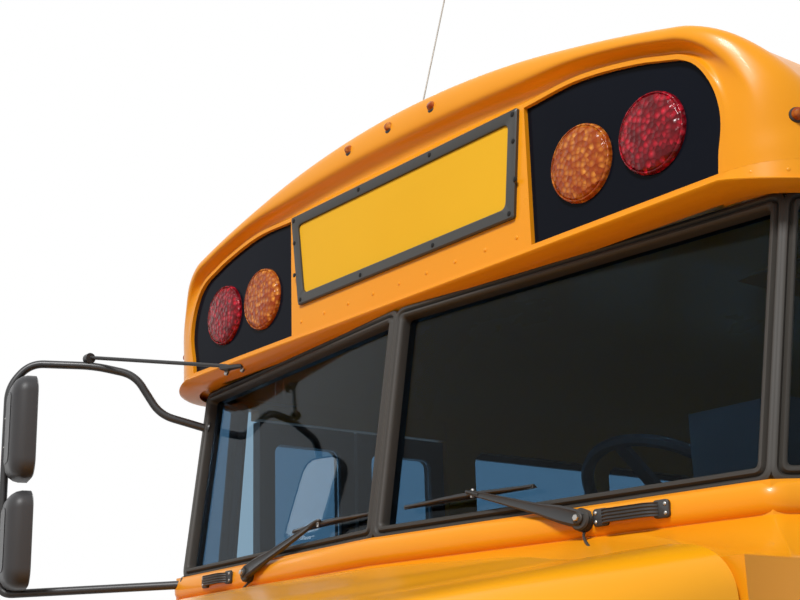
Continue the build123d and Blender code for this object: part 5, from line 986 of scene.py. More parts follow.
def pane_plane(side, corner):
    """A pane's origin, unit axes and corners in its own plane."""
    first = 1 if corner else 0
    low, high = shield_line(side, 0), shield_line(side, 1)
    across = ((low[first + 1] - low[first]) * side).normalized()
    rise = high[first] - low[first]
    normal = across.cross(rise).normalized()
    up = normal.cross(across)
    corners = [low[first], low[first + 1], high[first + 1], high[first]]
    flat = [((p - low[first]).dot(across), (p - low[first]).dot(up)) for p in corners]
    return low[first], across, up, flat


GASKET_SECTION = ((-0.0035, -0.003), (-0.003, 0.005), (0.001, 0.0085), (0.006, 0.0085), (0.0095, 0.005),
                  (0.0115, 0.002), (0.0135, 0.005), (0.0165, 0.0105), (0.0215, 0.0110), (0.0255, 0.008),
                  (0.0285, 0.001), (0.0290, -0.019))
POST_RINGS = ((0.0005, -0.0450), (0.0005, -0.0005), (0.0240, -0.0005), (0.0240, -0.0450), (0.0005, -0.0450))
PANE_MARGIN, PANE_BACK, PANE_THICK = 0.0235, -0.018, 0.006
gasket_parts, post_parts, pane_parts = [], [], []
for side in (1, -1):
    for corner in (False, True):
        origin, across, up, flat = pane_plane(side, corner)
        rubber = [(drawn_in(flat, margin, 0.012 + max(0, 0.02 - abs(margin))), out)
                  for margin, out in GASKET_SECTION]
        gasket_parts.append((ring_on_plane(rubber, origin, across, up), "black_rubber"))
        posts = [(drawn_in(flat, margin, 0.012), out) for margin, out in POST_RINGS]
        post_parts.append((ring_on_plane(posts, origin, across, up), "black_paint"))
        pane = drawn_in(flat, PANE_MARGIN, 0.020)
        pane_parts.append((slab(pane, origin, across, up, PANE_BACK - PANE_THICK, PANE_BACK), "window_glass"))
gasket = piece("windshield_rubber", "bus_body", gasket_parts, replaces=("windshield_gasket",), smooth=40)
DOOR_HEADER = ((-1.194, -2.624, 2.5405), (0.050, 0.806, 0.069))
post_parts.append((brick(DOOR_HEADER[0], DOOR_HEADER[1]), "body_yellow"))
piece("windshield_posts", "bus_body", post_parts, replaces=("windshield_frame",), bevel=0.001)
piece("windshield_panes", "bus_body", pane_parts, replaces=("windshield_glass",), smooth=30)
print("gasket:", len(gasket.data.polygons), "faces")

# %% [markdown]
# ## Cowl
# Under the windshield the body has a soft pillowed band, and below it a ledge that slopes to the
# hood. The band is one section swept along the windshield's line; the ledge is the frame's own.

# %% Cowl band
BAND_SECTION = ((-0.766, 0.002), (-0.7685, 0.013), (-0.775, 0.0235), (-0.787, 0.0305), (-0.803, 0.0335),
                (-0.818, 0.0325), (-0.829, 0.0275), (-0.8355, 0.0190), (-0.8375, 0.008))


def band_line(out):
    """The windshield's foot line over the whole width, pushed out square to itself."""
    half, slant = SHIELD_HALF[0], sqrt(1 + CORNER_SWEEP ** 2)
    y0 = SHIELD_Y - out * sqrt(1 + SWEEP ** 2)
    shift = (slant - sqrt(1 + SWEEP ** 2)) * out / (CORNER_SWEEP - SWEEP)
    corner = (half + shift, y0 + (half + shift) * SWEEP)
    right = [(0, y0), (0.35, y0 + 0.35 * SWEEP), (0.75, y0 + 0.75 * SWEEP)]
    reach = 0.035
    for i in range(9):
        k = i / 8
        low = (corner[0] - reach, corner[1] - reach * SWEEP)
        high = (corner[0] + reach * 0.6, corner[1] + reach * 0.6 * CORNER_SWEEP)
        right.append(tuple(a * (1 - k) ** 2 + b * 2 * k * (1 - k) + c * k * k
                           for a, b, c in zip(low, corner, high)))
    side_x = HALF_WIDTH + 0.0015
    right.append((side_x, corner[1] + (side_x - corner[0]) * CORNER_SWEEP))
    return [(-x, y) for x, y in reversed(right[1:])] + right


band = loft([[(x, LAMP_FACE_Y + y, LAMP_Z + z) for x, y in band_line(out)] for z, out in BAND_SECTION],
            closed=False, ends=False)
cowl_band = piece("cowl_band", "bus_body", [(band, "body_yellow")], smooth=60)
refined("cowl", "cowl_panel", bevel=0.006, segments=3, look="body_yellow")
print("cowl band:", len(cowl_band.data.polygons), "faces")

# %% [markdown]
# ## Hood skin
# The hood's top has a broad centre hump, a shallow valley beside it and a rounded bulge over each
# shoulder. The bulge is strongest at the rear edge and dies out a little past halfway to the nose,
# so the skin blends a rear section into the frame's plain front section, ring by ring.

# %% Hood skin
HOOD_REAR, HOOD_NOSE = -3.652, -5.190
HOOD_HALF, HOOD_TOP = (1.190, 0.720), (1.862, 1.590)
SHOULDER, HOOD_CROWN, FADE_END = 0.240, 0.040, 0.60
REAR_TOP = through(((0, -0.864), (0.28, -0.867), (0.52, -0.877), (0.70, -0.886), (0.81, -0.901),
                    (0.89, -0.9045), (0.98, -0.900), (1.075, -0.900)), 4)
REAR_SHOULDER = through(((1.075, -0.900), (1.125, -0.906), (1.162, -0.919), (1.190, -0.943),
                         (1.206, -0.975), (1.211, -1.020)), 4)


def hood_ring(share):
    """One section of the hood skin, from the right flank over the top to the left."""
    half = HOOD_HALF[0] + (HOOD_HALF[1] - HOOD_HALF[0]) * share
    top = HOOD_TOP[0] + (HOOD_TOP[1] - HOOD_TOP[0]) * share
    keep = max(0.0, 1 - share / FADE_END)
    keep = keep * keep * (3 - 2 * keep)
    y = HOOD_REAR + (HOOD_NOSE - HOOD_REAR) * share
    proud = 0.003 if share < 0.97 else -0.004
    right = []
    grown_by = half / HOOD_HALF[0]
    lifted = LAMP_Z - HOOD_TOP[0] + top
    shoulder_z = top - HOOD_CROWN - SHOULDER
    flat = half - SHOULDER
    for i, (x, z) in enumerate(REAR_TOP):
        k = i / (len(REAR_TOP) - 1)
        plain = (flat * k, top - HOOD_CROWN * k * k + proud)
        right.append((x * grown_by, z + lifted, *plain))
    for i, (x, z) in enumerate(REAR_SHOULDER[1:]):
        angle = pi / 2 * (i + 1) / (len(REAR_SHOULDER) - 1)
        plain = (flat + (SHOULDER + proud) * sin(angle), shoulder_z + (SHOULDER + proud) * cos(angle))
        right.append((x * grown_by, z + lifted, *plain))
    line = [(a * keep + c * (1 - keep), b * keep + d * (1 - keep)) for a, b, c, d in right]
    line.append((half + proud, top - 0.52))
    whole = line[::-1] + [(-x, z) for x, z in line[1:]]
    return [(x, y, z) for x, z in whole]


shares = [0, 0.004, 0.02, 0.05] + [0.05 + 0.95 * i / 24 for i in range(1, 25)]
skin_rings = [hood_ring(share) for share in shares]
lip = [(x * 0.992, HOOD_REAR + 0.004, z - 0.014) for x, y, z in skin_rings[0]]
hood_skin = piece("hood_skin", "tilting_hood",
                  [(loft([lip] + skin_rings, closed=False, ends=False), "hood_yellow")],
                  smooth=60)
refined("hood", "hood_shell", bevel=0.004, segments=2, look="hood_yellow")
print("hood skin:", len(hood_skin.data.polygons), "faces")

# %% [markdown]
# ## Wipers
# A wiper is a ribbed rubber boss on the spindle, a pressed channel arm that tapers to a hook, and a
# jointed blade: a long bridge, two short claws and a rubber edge on the glass. Each is placed by
# the plane of its pane, so that the arm sweeps flat over the glass.

# %% Wipers
WIPER_PIVOT = {"left": 0.660, "right": 0.580}
ARM_REACH, ARM_LEAN, BLADE_LENGTH, PIVOT_DROP, BLADE_SHIFT = 0.345, 17, 0.400, 0.036, 0.035
SIDES = {"left": 1, "right": -1}


def on_pane(frame_of, u, v, out):
    """A point given across, up and out of a pane."""
    origin, across, up, _ = frame_of
    return origin + across * u + up * v + across.cross(up) * out


BOSS_RIBS = [(0.0235, 0.043), (0.0235, 0.041), (0.0205, 0.0398), (0.0205, 0.0385)]
BOSS_TOP = [(0, 0.054), (0.010, 0.054), (0.0125, 0.052), (0.0125, 0.047), (0.0205, 0.0465)]
BOSS_FOOT = [(0.0180, 0.019), (0.0180, 0.001)]
RIB_PITCH = 0.0055
NUT_PROFILE = ((0, 0.060), (0.0065, 0.0595), (0.0075, 0.057), (0.0075, 0.053))
# share along the arm, half width, height of its back, distance out of the glass
ARM_ROWS = ((-0.03, 0.015, 0.012, 0.036), (0.05, 0.0185, 0.015, 0.036), (0.16, 0.0180, 0.014, 0.036),
            (0.26, 0.0150, 0.012, 0.035), (0.34, 0.0120, 0.011, 0.033), (0.62, 0.0095, 0.009, 0.029),
            (0.90, 0.0065, 0.007, 0.0265), (1.0, 0.0055, 0.006, 0.026))
ARM_SECTION = ((-1, 0), (-1, 0.75), (-0.72, 1), (-0.30, 0.72), (0.30, 0.72), (0.72, 1), (1, 0.75), (1, 0))
# distance past the arm's tip, distance out of the glass
HOOK_ROUTE = ((-0.03, 0.030), (0.010, 0.0305), (0.016, 0.022), (0.004, 0.017))
PIN_PROFILE = ((0, 0.011), (0.0045, 0.010), (0.0045, -0.010), (0, -0.011))
# centre and half length as shares of the blade, foot and head out of the glass, half width
BLADE_BARS = ((0, 0.34, 0.009, 0.019, 0.0052), (-0.29, 0.20, 0.004, 0.0105, 0.0045),
              (0.29, 0.20, 0.004, 0.0105, 0.0045))
BAR_SHARES = (-1, -0.92, -0.5, -0.12, 0.12, 0.5, 0.92, 1)
EDGE_SECTION = ((-0.0045, 0.004), (-0.0045, -0.001), (-0.0015, -0.004), (-0.0006, -0.0095),
                (0.0006, -0.0095), (0.0015, -0.004), (0.0045, -0.001), (0.0045, 0.004))
for name, side in SIDES.items():
    plane = pane_plane(side, False)
    _, across, up, _ = plane
    normal = across.cross(up)
    pu, pv = side * WIPER_PIVOT[name] * sqrt(1 + SWEEP ** 2), -PIVOT_DROP
    lean = radians(ARM_LEAN)
    run = Vector((-side * cos(lean), sin(lean)))
    tip = Vector((pu, pv)) + run * ARM_REACH
    pivot = on_pane(plane, pu, pv, 0)
    ribs = [(radius, out - RIB_PITCH * i) for i in range(4) for radius, out in BOSS_RIBS]
    parts = [(turned(BOSS_TOP + ribs + BOSS_FOOT, pivot, normal, 32), "black_rubber"),
             (turned(NUT_PROFILE, pivot, normal, 6), "screw_steel")]
    rings = []
    across_arm = Vector((-run.y, run.x))
    for share, half, tall, out in ARM_ROWS:
        centre = Vector((pu, pv)) + run * (ARM_REACH * share)
        ring = []
        for k, lift in ARM_SECTION:
            spot = centre + across_arm * (half * k)
            ring.append(on_pane(plane, spot.x, spot.y, out + tall * lift))
        rings.append(ring)
    parts.append((loft(rings), "wiper_black"))
    hook = [on_pane(plane, *(tip + run * past), out) for past, out in HOOK_ROUTE]
    parts.append((tube(rounded_route(hook, 0.008), 0.0036, 10), "wiper_black"))
    parts.append((turned(PIN_PROFILE, on_pane(plane, *tip, 0.019), up, 12), "screw_steel"))
    # blade: bridge and claws as tapered bars, rubber edge on the glass
    blade_middle = tip.x - side * BLADE_SHIFT
    for centre_share, half_share, low, high, wide in BLADE_BARS:
        bars = []
        for share in BAR_SHARES:
            u = blade_middle + BLADE_LENGTH * centre_share + BLADE_LENGTH * half_share * share
            top = low + (high - low) * (1 - abs(share) ** 2)
            w = wide * (1 - 0.45 * abs(share))
            section = ((-w, low - 0.003), (-w, top), (-w * 0.5, top + 0.002),
                       (w * 0.5, top + 0.002), (w, top), (w, low - 0.003))
            bars.append([on_pane(plane, u, tip.y + y, out) for y, out in section])
        parts.append((loft(bars), "wiper_black"))
    edge_rings = []
    for share in (-1, -0.99, 0.99, 1):
        u = blade_middle + BLADE_LENGTH / 2 * share
        edge_rings.append([on_pane(plane, u, tip.y + y, out) for y, out in EDGE_SECTION])
    parts.append((loft(edge_rings), "black_rubber"))
    wiper = piece(f"wiper_{name}_set", f"wiper_arm_{name}", parts, replaces=(f"wiper_{name}",),
                  bevel=0.0006, segments=1, smooth=35)
    print(wiper.name, len(wiper.data.polygons), "faces")

# %% [markdown]
# ## Grab handles
# Each handle on the band under the windshield is a moulded bar between two screwed end plates, with
# ribs along its back for grip.

# %% Grab handles
HANDLE_X, HANDLE_Z, HANDLE_LENGTH, BAND_PROUD = 0.782, -0.799, 0.186, 0.033
PLATE_WIDE, PLATE_NARROW = rounded_outline(0.038, 0.036, 0.008), rounded_outline(0.034, 0.032, 0.007)
PLATE_PROUD = 0.0075
PLATE_RINGS = [(PLATE_WIDE, 0), (PLATE_WIDE, 0.006), (PLATE_NARROW, PLATE_PROUD)]
# distance along the handle, distance out of the band
GRIP_ROWS = ((-0.070, 0.004), (-0.066, 0.012), (-0.056, 0.020), (-0.044, 0.0245),
             (0.044, 0.0245), (0.056, 0.020), (0.066, 0.012), (0.070, 0.004))
UP = (0, 0, 1)
handle_parts = []
for side in (1, -1):
    along = Vector((1, side * SWEEP, 0)).normalized()
    out = Vector((side * SWEEP, -1, 0)).normalized()
    band_y = SHIELD_Y - BAND_PROUD * sqrt(1 + SWEEP ** 2) + HANDLE_X * SWEEP
    centre = Vector((side * HANDLE_X, LAMP_FACE_Y + band_y, LAMP_Z + HANDLE_Z))
    for end in (-1, 1):
        plate = centre + along * (end * (HANDLE_LENGTH / 2 - 0.019))
        handle_parts.append((ring_on_plane(PLATE_RINGS, plate, along, UP), "black_plastic"))
        handle_parts.append((sheet_on_plane(PLATE_NARROW, PLATE_PROUD, plate, along, UP), "black_plastic"))
        for rise in (-0.009, 0.009):
            spot = plate + out * PLATE_PROUD + along * (end * 0.011) + Vector((0, 0, rise))
            handle_parts.append((screw_head(spot, out, 0.0042, 0.002), "screw_steel"))
    rings = []
    for shift, lift in GRIP_ROWS:
        ring = []
        for i in range(9):
            height = -0.0135 + 0.027 * i / 8
            ridge = 0.0022 if i % 2 == 0 else -0.0008
            ring.append(centre + along * shift + out * (lift + ridge) + Vector((0, 0, height)))
        for height in (0.0135, -0.0135):
            ring.append(centre + along * shift + out * (lift - 0.009) + Vector((0, 0, height)))
        rings.append(ring)
    handle_parts.append((loft(rings), "black_plastic"))
handles = piece("cowl_handles", "bus_body", handle_parts, replaces=("grab_handles",), bevel=0.0006,
                segments=1, smooth=40)
print("handles:", len(handles.data.polygons), "faces")

# %% [markdown]
# ## Mirrors
# On each side two mirrors stand on one bent tube. The heads are deep rounded shells, turned about
# the tube so that the driver sees along the bus in them. The glass lies in the open back of each
# shell. The driver's side has the same heads on a tube whose form is guessed.

# %% Mirrors
MIRROR_TUBE = {"left": (1.530, 0.150), "right": (1.450, -0.430)}
MIRROR_ROUTE = {
    "left": [(1.207, 0.365, -0.300), (1.255, 0.330, -0.210), (1.300, 0.295, -0.098), (1.485, 0.172, -0.094),
             (1.530, 0.150, -0.160), (1.530, 0.150, -0.800), (1.300, 0.330, -0.800), (1.207, 0.365, -0.800)],
    "right": [(1.086, 0.082, -0.306), (1.170, -0.047, -0.258), (1.220, -0.112, -0.128),
              (1.290, -0.218, -0.098),
              (1.420, -0.376, -0.084), (1.450, -0.430, -0.160), (1.450, -0.430, -0.800),
              (1.056, -0.016, -0.790)],
}
STAY_ROUTE = [(1.300, -0.232, -0.070), (0.790, -0.026, -0.176)]
# head: height of the centre, height of the shell, turn towards the driver
HEADS = ((-0.308, 0.315), (-0.648, 0.290))
HEAD_WIDE = 0.200
HEAD_TURN = {"left": -24, "right": -16}
HEAD_OUT = {"left": (-0.100, 0.045), "right": (-0.100, 0.012)}
BOLT_PROFILE = ((0, 0.013), (0.006, 0.012), (0.0075, 0.006), (0.0075, -0.002))
SHELL_RINGS = ((0.006, 0.000), (0.000, 0.004), (0.000, 0.030), (0.004, 0.046), (0.013, 0.060),
               (0.028, 0.070), (0.050, 0.075))


def by_lamps(side, x, y, z):
    """A point beside the lamp face and the lamp centres, on one side of the bus."""
    return Vector((side * x, LAMP_FACE_Y + y, LAMP_Z + z))


arm_parts, head_parts = [], []
for name, side in SIDES.items():
    route = rounded_route([by_lamps(side, *p) for p in MIRROR_ROUTE[name]], 0.045, 10)
    arm_parts.append((tube(route, 0.0125, 20), "mirror_black"))
    tube_x, tube_y = MIRROR_TUBE[name]
    for end, beside in ((0, 1), (-1, -2)):
        foot = by_lamps(side, *MIRROR_ROUTE[name][end])
        away = (by_lamps(side, *MIRROR_ROUTE[name][beside]) - foot).normalized()
        arm_parts.append((turned([(0, 0.012), (0.016, 0.011), (0.024, 0.007), (0.026, 0.0)], foot, away,
                                 20), "mirror_black"))
    turn = radians(HEAD_TURN[name]) * (-side)
    wide_way = Vector((cos(turn), sin(turn), 0))
    for height, tall in HEADS:
        centre = by_lamps(side, tube_x + HEAD_OUT[name][0], tube_y + HEAD_OUT[name][1],
                          height) + Vector((0, 0.030, 0))
        shell = [(rounded_outline(HEAD_WIDE - 2 * inset, tall - 2 * inset, max(0.055 - inset * 0.6, 0.02),
                                  8), out)
                 for inset, out in SHELL_RINGS]
        glass_outline = rounded_outline(HEAD_WIDE - 0.012, tall - 0.012, 0.050, 8)
        head_parts.append((ring_on_plane(shell, centre, wide_way, UP), "shell_grey"))
        head_parts.append((sheet_on_plane(shell[-1][0], 0.0765, centre, wide_way, UP), "shell_grey"))
        head_parts.append((sheet_on_plane(glass_outline, 0.003, centre, wide_way, UP), "mirror_glass"))
        for lift in (-0.045, 0.045):
            low = by_lamps(side, tube_x, tube_y, height + lift)
            arm_parts.append((brick(low + Vector((-side * 0.012, 0.012, 0)), (0.052, 0.036, 0.026)),
                              "mirror_black"))
            arm_parts.append((screw_head(low + Vector((-side * 0.004, -0.008, 0)), (0, -1, 0), 0.005,
                                         0.003), "screw_steel"))
low, high = [by_lamps(-1, *p) for p in STAY_ROUTE]
arm_parts.append((tube([low + (high - low) * t for t in (0, 0.2, 0.5, 0.8, 1)], 0.006, 12), "mirror_black"))
arm_parts.append((tube([low - Vector((0.012, 0, 0.004)), low + Vector((0.012, 0, -0.004))], 0.017, 16),
                  "mirror_black"))
bracket = by_lamps(-1, 0.785, -0.012, -0.180)
arm_parts.append((brick(bracket, (0.085, 0.045, 0.010), (1, 0.30, -0.05), (0, 0, 1)), "mirror_black"))
for shift in (-0.030, 0.030):
    spot = bracket + Vector((shift, shift * 0.3, -0.006))
    arm_parts.append((turned(BOLT_PROFILE, spot, (0, -0.5, -1), 8), "screw_steel"))
arms = piece("mirror_tubes", "bus_body", arm_parts, replaces=("mirror_arms",), bevel=0.001, segments=2,
             smooth=40)
heads = piece("mirror_shells", "bus_body", head_parts, replaces=("mirror_heads",), smooth=50)
print("mirrors:", len(arms.data.polygons) + len(heads.data.polygons), "faces")

# %% [markdown]
# ## Everything else of sheet metal
# Walls, roof, doors, rails and the chassis already have the right form in the frame. Each is copied
# with its triangles merged into faces, and a small bevel rounds its edges to catch the light.

# %% Refined frame nodes
# node: width of the bevel, rows of faces over it
SOFT_EDGES = {
    "roof": (0.003, 2), "side_wall_left": (0.003, 2), "side_wall_right": (0.003, 2),
    "rear_wall": (0.004, 2), "rear_door": (0.004, 2), "door_leaf_front": (0.003, 2),
    "door_leaf_rear": (0.003, 2), "rub_rails": (0.005, 2), "floor": (0.003, 1), "dashboard": (0.008, 3),
    "steering_wheel": (0.002, 2), "roof_hatch_front": (0.008, 3), "roof_hatch_rear": (0.008, 3),
    "front_bumper": (0.008, 3), "rear_bumper": (0.008, 3), "chassis_frame": (0.003, 1),
    "leaf_springs": (0.003, 1), "front_axle": (0.005, 2), "rear_axle": (0.005, 2),
    "driveline": (0.006, 1), "exhaust": (0.002, 1), "fuel_tank": (0.010, 3), "mud_flaps": (0.002, 1),
    "radiator": (0.004, 1), "knuckle_left": (0.003, 1), "knuckle_right": (0.003, 1),
    "tie_rod": (0.001, 1), "antenna": (0.0, 1), "grille": (0.004, 2), "headlamps": (0.006, 2),
    "stop_arm": (0.002, 2), "crossview_mirrors": (0.003, 2),
}
for node_name, (width, segments) in SOFT_EDGES.items():
    refined(node_name, node_name + "_fine", bevel=width, segments=segments)
print(len(SOFT_EDGES), "frame nodes refined")

# %% [markdown]
# ## Rings of copies
# Wheel nuts and tread blocks repeat round an axle. One small shape is modelled at the top of the
# wheel and Geometry Nodes copy it round the X axis.

# %% Ring of copies
def ring_tree():
    """A tree that copies its own geometry round the X axis through a centre."""
    tree = bpy.data.node_groups.new("Ring of copies", "GeometryNodeTree")
    tree.interface.new_socket("Geometry", in_out="INPUT", socket_type="NodeSocketGeometry")
    tree.interface.new_socket("Count", in_out="INPUT", socket_type="NodeSocketInt").default_value = 10
    tree.interface.new_socket("Centre", in_out="INPUT", socket_type="NodeSocketVector")
    tree.interface.new_socket("Material", in_out="INPUT", socket_type="NodeSocketMaterial")
    tree.interface.new_socket("Geometry", in_out="OUTPUT", socket_type="NodeSocketGeometry")
    start, end = tree.nodes.new("NodeGroupInput"), tree.nodes.new("NodeGroupOutput")
    points = tree.nodes.new("GeometryNodePoints")
    number = tree.nodes.new("GeometryNodeInputIndex")
    per_copy = sum_node(tree, "DIVIDE", 2 * pi, start.outputs["Count"])
    angle = sum_node(tree, "MULTIPLY", number.outputs[0], per_copy)
    euler = tree.nodes.new("ShaderNodeCombineXYZ")
    spread = tree.nodes.new("GeometryNodeInstanceOnPoints")
    solid = tree.nodes.new("GeometryNodeRealizeInstances")
    coat = tree.nodes.new("GeometryNodeSetMaterial")
    link = tree.links.new
    link(start.outputs["Count"], points.inputs["Count"])
    link(start.outputs["Centre"], points.inputs["Position"])
    link(points.outputs[0], spread.inputs["Points"])
    link(start.outputs["Geometry"], spread.inputs["Instance"])
    link(angle, euler.inputs["X"])
    link(euler.outputs[0], spread.inputs["Rotation"])
    link(spread.outputs["Instances"], solid.inputs["Geometry"])
    link(solid.outputs["Geometry"], coat.inputs["Geometry"])
    link(start.outputs["Material"], coat.inputs["Material"])
    link(coat.outputs["Geometry"], end.inputs["Geometry"])
    return tree


RING = ring_tree()


def ring_of(name, body, shapes, centre, count, look):
    """Copies of some small shapes, modelled about the origin, round an axle."""
    mesh = bpy.data.meshes.new(name + "_copy")
    points, faces = [], []
    for shape_points, shape_faces in shapes:
        faces += [tuple(len(points) + i for i in face) for face in shape_faces]
        points += shape_points
    mesh.from_pydata(points, [], faces)
    work = bmesh.new()
    work.from_mesh(mesh)
    bmesh.ops.recalc_face_normals(work, faces=work.faces)
    work.to_mesh(mesh)
    work.free()
    return grown(name, mesh, RING, {"Count": count, "Centre": centre, "Material": finishes[look]}, body)


print("ring of copies ready")

# %% [markdown]
# ## Wheels
# A tyre is turned from its section: bead, bulging wall with a rib, shoulder and tread. The tread's
# blocks are a ring of copies. The steel wheel is the frame's own with softer edges and a ring of
# nuts round its hub.

# %% Wheels
AXLE_Z = 0.505
WALL_SECTION = ((0.286, 0.094), (0.292, 0.101), (0.305, 0.106), (0.322, 0.116), (0.345, 0.127),
                (0.372, 0.1335), (0.400, 0.1360), (0.404, 0.1375), (0.410, 0.1375), (0.414, 0.1358),
                (0.440, 0.1325), (0.462, 0.1280), (0.476, 0.1245), (0.486, 0.1180), (0.492, 0.108))
TREAD_FLOOR, BLOCK_LOW, BLOCK_LOW_EDGE = 0.4935, 0.4925, 0.486
BLOCK_TOP, BLOCK_TOP_EDGE = 0.505, 0.5035
BLOCKS, NUTS = 54, 10
PITCH = 2 * pi / BLOCKS
# place across the tread, width of the block, shift round the wheel in shares of the pitch
BLOCK_ROWS = ((-0.098, 0.052, 0.35), (-0.033, 0.050, 0.0), (0.033, 0.050, 0.5), (0.098, 0.052, 0.15))
BLOCK_FACES = [(0, 1, 2, 3), (4, 5, 6, 7), (0, 1, 5, 4), (1, 2, 6, 5), (2, 3, 7, 6), (3, 0, 4, 7)]
WHEEL_NUT = ((0, 0.030), (0.010, 0.030), (0.0155, 0.026), (0.0155, 0.006), (0.021, 0.004), (0.021, 0))
NUT_CIRCLE, FRONT_HUB_OUT, DISC_HALF = 0.140, 0.040, 0.009
WHEELS = {"front": (-4.410, (1.010,)), "rear": (2.040, (0.737, 1.062))}
for name, side in SIDES.items():
    for end, (axle_y, centres) in WHEELS.items():
        body = f"wheel_{end}_{name}"
        parts = []
        for centre in centres:
            tread = [(TREAD_FLOOR, -0.05), (TREAD_FLOOR, 0.05)]
            profile = [(r, -w) for r, w in WALL_SECTION] + tread + [(r, w) for r, w in reversed(WALL_SECTION)]
            skin, faces = turned(profile, (side * centre, axle_y, AXLE_Z), (1, 0, 0), 72)
            parts.append(((skin, faces[:-2]), "tyre_rubber"))
        piece(f"tyre_{end}_{name}_skin", body, parts, replaces=(f"tyre_{end}_{name}",), smooth=50)
        refined(f"wheel_rim_{end}_{name}", f"wheel_{end}_{name}_disc", bevel=0.004, segments=2, smooth=35)
        blocks = []
        for centre in centres:
            for x, wide, shift in BLOCK_ROWS:
                low = [BLOCK_LOW_EDGE if abs(x + s * wide / 2) > 0.1 else BLOCK_LOW for s in (-1, 1)]
                top = [BLOCK_TOP_EDGE if s * x > 0.05 else BLOCK_TOP for s in (-1, 1)]
                corners = []
                for r_pair, grow in ((low, 1.0), (top, 0.94)):
                    for s, turn_by in ((-1, -0.40), (1, -0.40), (1, 0.40), (-1, 0.40)):
                        a = PITCH * (shift + turn_by * grow)
                        r = r_pair[0] if s < 0 else r_pair[1]
                        corners.append(Vector((side * centre + x + s * wide / 2 * grow, r * sin(a),
                                               r * cos(a))))
                blocks.append((corners, BLOCK_FACES))
        axle = (0, axle_y, AXLE_Z)
        ring_of(f"tread_{end}_{name}", body, blocks, axle, BLOCKS, "tyre_rubber")
        nut_x = side * (centres[0] + FRONT_HUB_OUT + DISC_HALF if end == "front"
                        else sum(centres) / 2 + DISC_HALF)
        nut = turned(WHEEL_NUT, (nut_x, 0, NUT_CIRCLE), (side, 0, 0), 12)
        ring_of(f"nuts_{end}_{name}", body, [nut], axle, NUTS, "screw_steel")
print("wheels dressed")

# %% [markdown]
# ## Seats
# School bus benches are foam under tight vinyl: crowned cushions with soft edges on a steel frame.
# Each cushion is a grid wrapped round a rounded block, pushed out at its middle. The fill of the
# cushions is a chosen value. Benches over a rear wheel stand on their inner legs alone.

# %% Seats
def cushion(centre, size, crown, lean=0.0, n=9, hard=5.0):
    """A crowned block: width, depth and thickness, leaning back about the X axis."""
    points, faces = [], []
    turned_back = Matrix.Rotation(lean, 3, "X")
    for face_axis in range(3):
        for sign in (-1, 1):
            base = len(points)
            for i in range(n + 1):
                for j in range(n + 1):
                    a, b = sin((2 * i / n - 1) * pi / 2), sin((2 * j / n - 1) * pi / 2)
                    p = [0.0, 0.0, 0.0]
                    p[face_axis], p[(face_axis + 1) % 3], p[(face_axis + 2) % 3] = sign, a, b
                    length = (abs(p[0]) ** hard + abs(p[1]) ** hard + abs(p[2]) ** hard) ** (1 / hard)
                    p = [c / length for c in p]
                    bulge = crown * (1 - p[0] ** 2) * (1 - p[1] ** 2)
                    spot = Vector((p[0] * size[0] / 2, p[1] * size[1] / 2,
                                   p[2] * size[2] / 2 + (bulge if p[2] > 0 else 0)))
                    points.append(Vector(centre) + turned_back @ spot)
            for i in range(n):
                for j in range(n):
                    a = base + i * (n + 1) + j
                    faces.append((a, a + 1, a + n + 2, a + n + 1))
    return points, faces


BENCH_X, BENCH_WIDE = 0.6745, 0.969
FIRST_ROW, ROW_PITCH, ROWS = -1.804, 0.711, 10
SEAT_TOP, BACK_HEAD = 1.440, 2.040
INNER_LEG, OUTER_LEG, LEG_PLACES, LEG_RADIUS = 0.270, 1.099, (0.07, 0.33), 0.012
FLOOR_TOP = 1.001
# rows that start between these places stand over a rear wheel and have no outer legs
WHEEL_FROM, WHEEL_TO = 1.0, 2.5
seat_parts, back_parts, frame_parts = [], [], []
for side in (1, -1):
    for row in range(ROWS):
        front = FIRST_ROW + row * ROW_PITCH
        seat_place = (side * BENCH_X, front + 0.215, SEAT_TOP - 0.060)
        seat_parts.append((cushion(seat_place, (BENCH_WIDE - 0.004, 0.43, 0.115), 0.018), "seat_green"))
        back_place = (side * BENCH_X, front + 0.470, (SEAT_TOP + BACK_HEAD) / 2 - 0.010)
        back_parts.append((cushion(back_place, (BENCH_WIDE - 0.004, 0.610, 0.085), 0.014,
                                   lean=radians(97)), "seat_green"))
        over_wheel = WHEEL_FROM < front < WHEEL_TO
        for leg_x in (INNER_LEG,) if over_wheel else (INNER_LEG, OUTER_LEG):
            for leg_y in LEG_PLACES:
                foot = (side * leg_x, front + leg_y, FLOOR_TOP)
                head = (side * leg_x, front + leg_y, SEAT_TOP - 0.12)
                frame_parts.append((tube([foot, head], LEG_RADIUS, 8), "chassis_black"))
            frame_parts.append((brick((side * leg_x, front + 0.20, 1.005), (0.04, 0.34, 0.008)),
                                "chassis_black"))
        board_place = (side * BENCH_X, front + 0.22, SEAT_TOP - 0.122)
        frame_parts.append((brick(board_place, (BENCH_WIDE - 0.04, 0.38, 0.012)), "chassis_black"))
cushions = piece("bench_cushions", "bus_body", seat_parts, replaces=("passenger_seats",), smooth=60)
backs = piece("bench_backs", "bus_body", back_parts, smooth=60)
piece("bench_legs", "bus_body", frame_parts, smooth=40)
driver_x, driver_y = 0.550, -2.750
driver_parts = [
    (cushion((driver_x, driver_y + 0.24, 1.455), (0.50, 0.50, 0.12), 0.020), "seat_grey"),
    (cushion((driver_x, driver_y + 0.525, 1.885), (0.49, 0.74, 0.105), 0.020, lean=radians(98)), "seat_grey"),
]
driver_seat = piece("driver_cushions", "bus_body", driver_parts, replaces=("driver_seat",), smooth=60)
pedestal = [(brick((driver_x, driver_y + 0.24, 1.195), (0.32, 0.36, 0.39)), "chassis_black")]
piece("driver_pedestal", "bus_body", pedestal, bevel=0.01, segments=3)
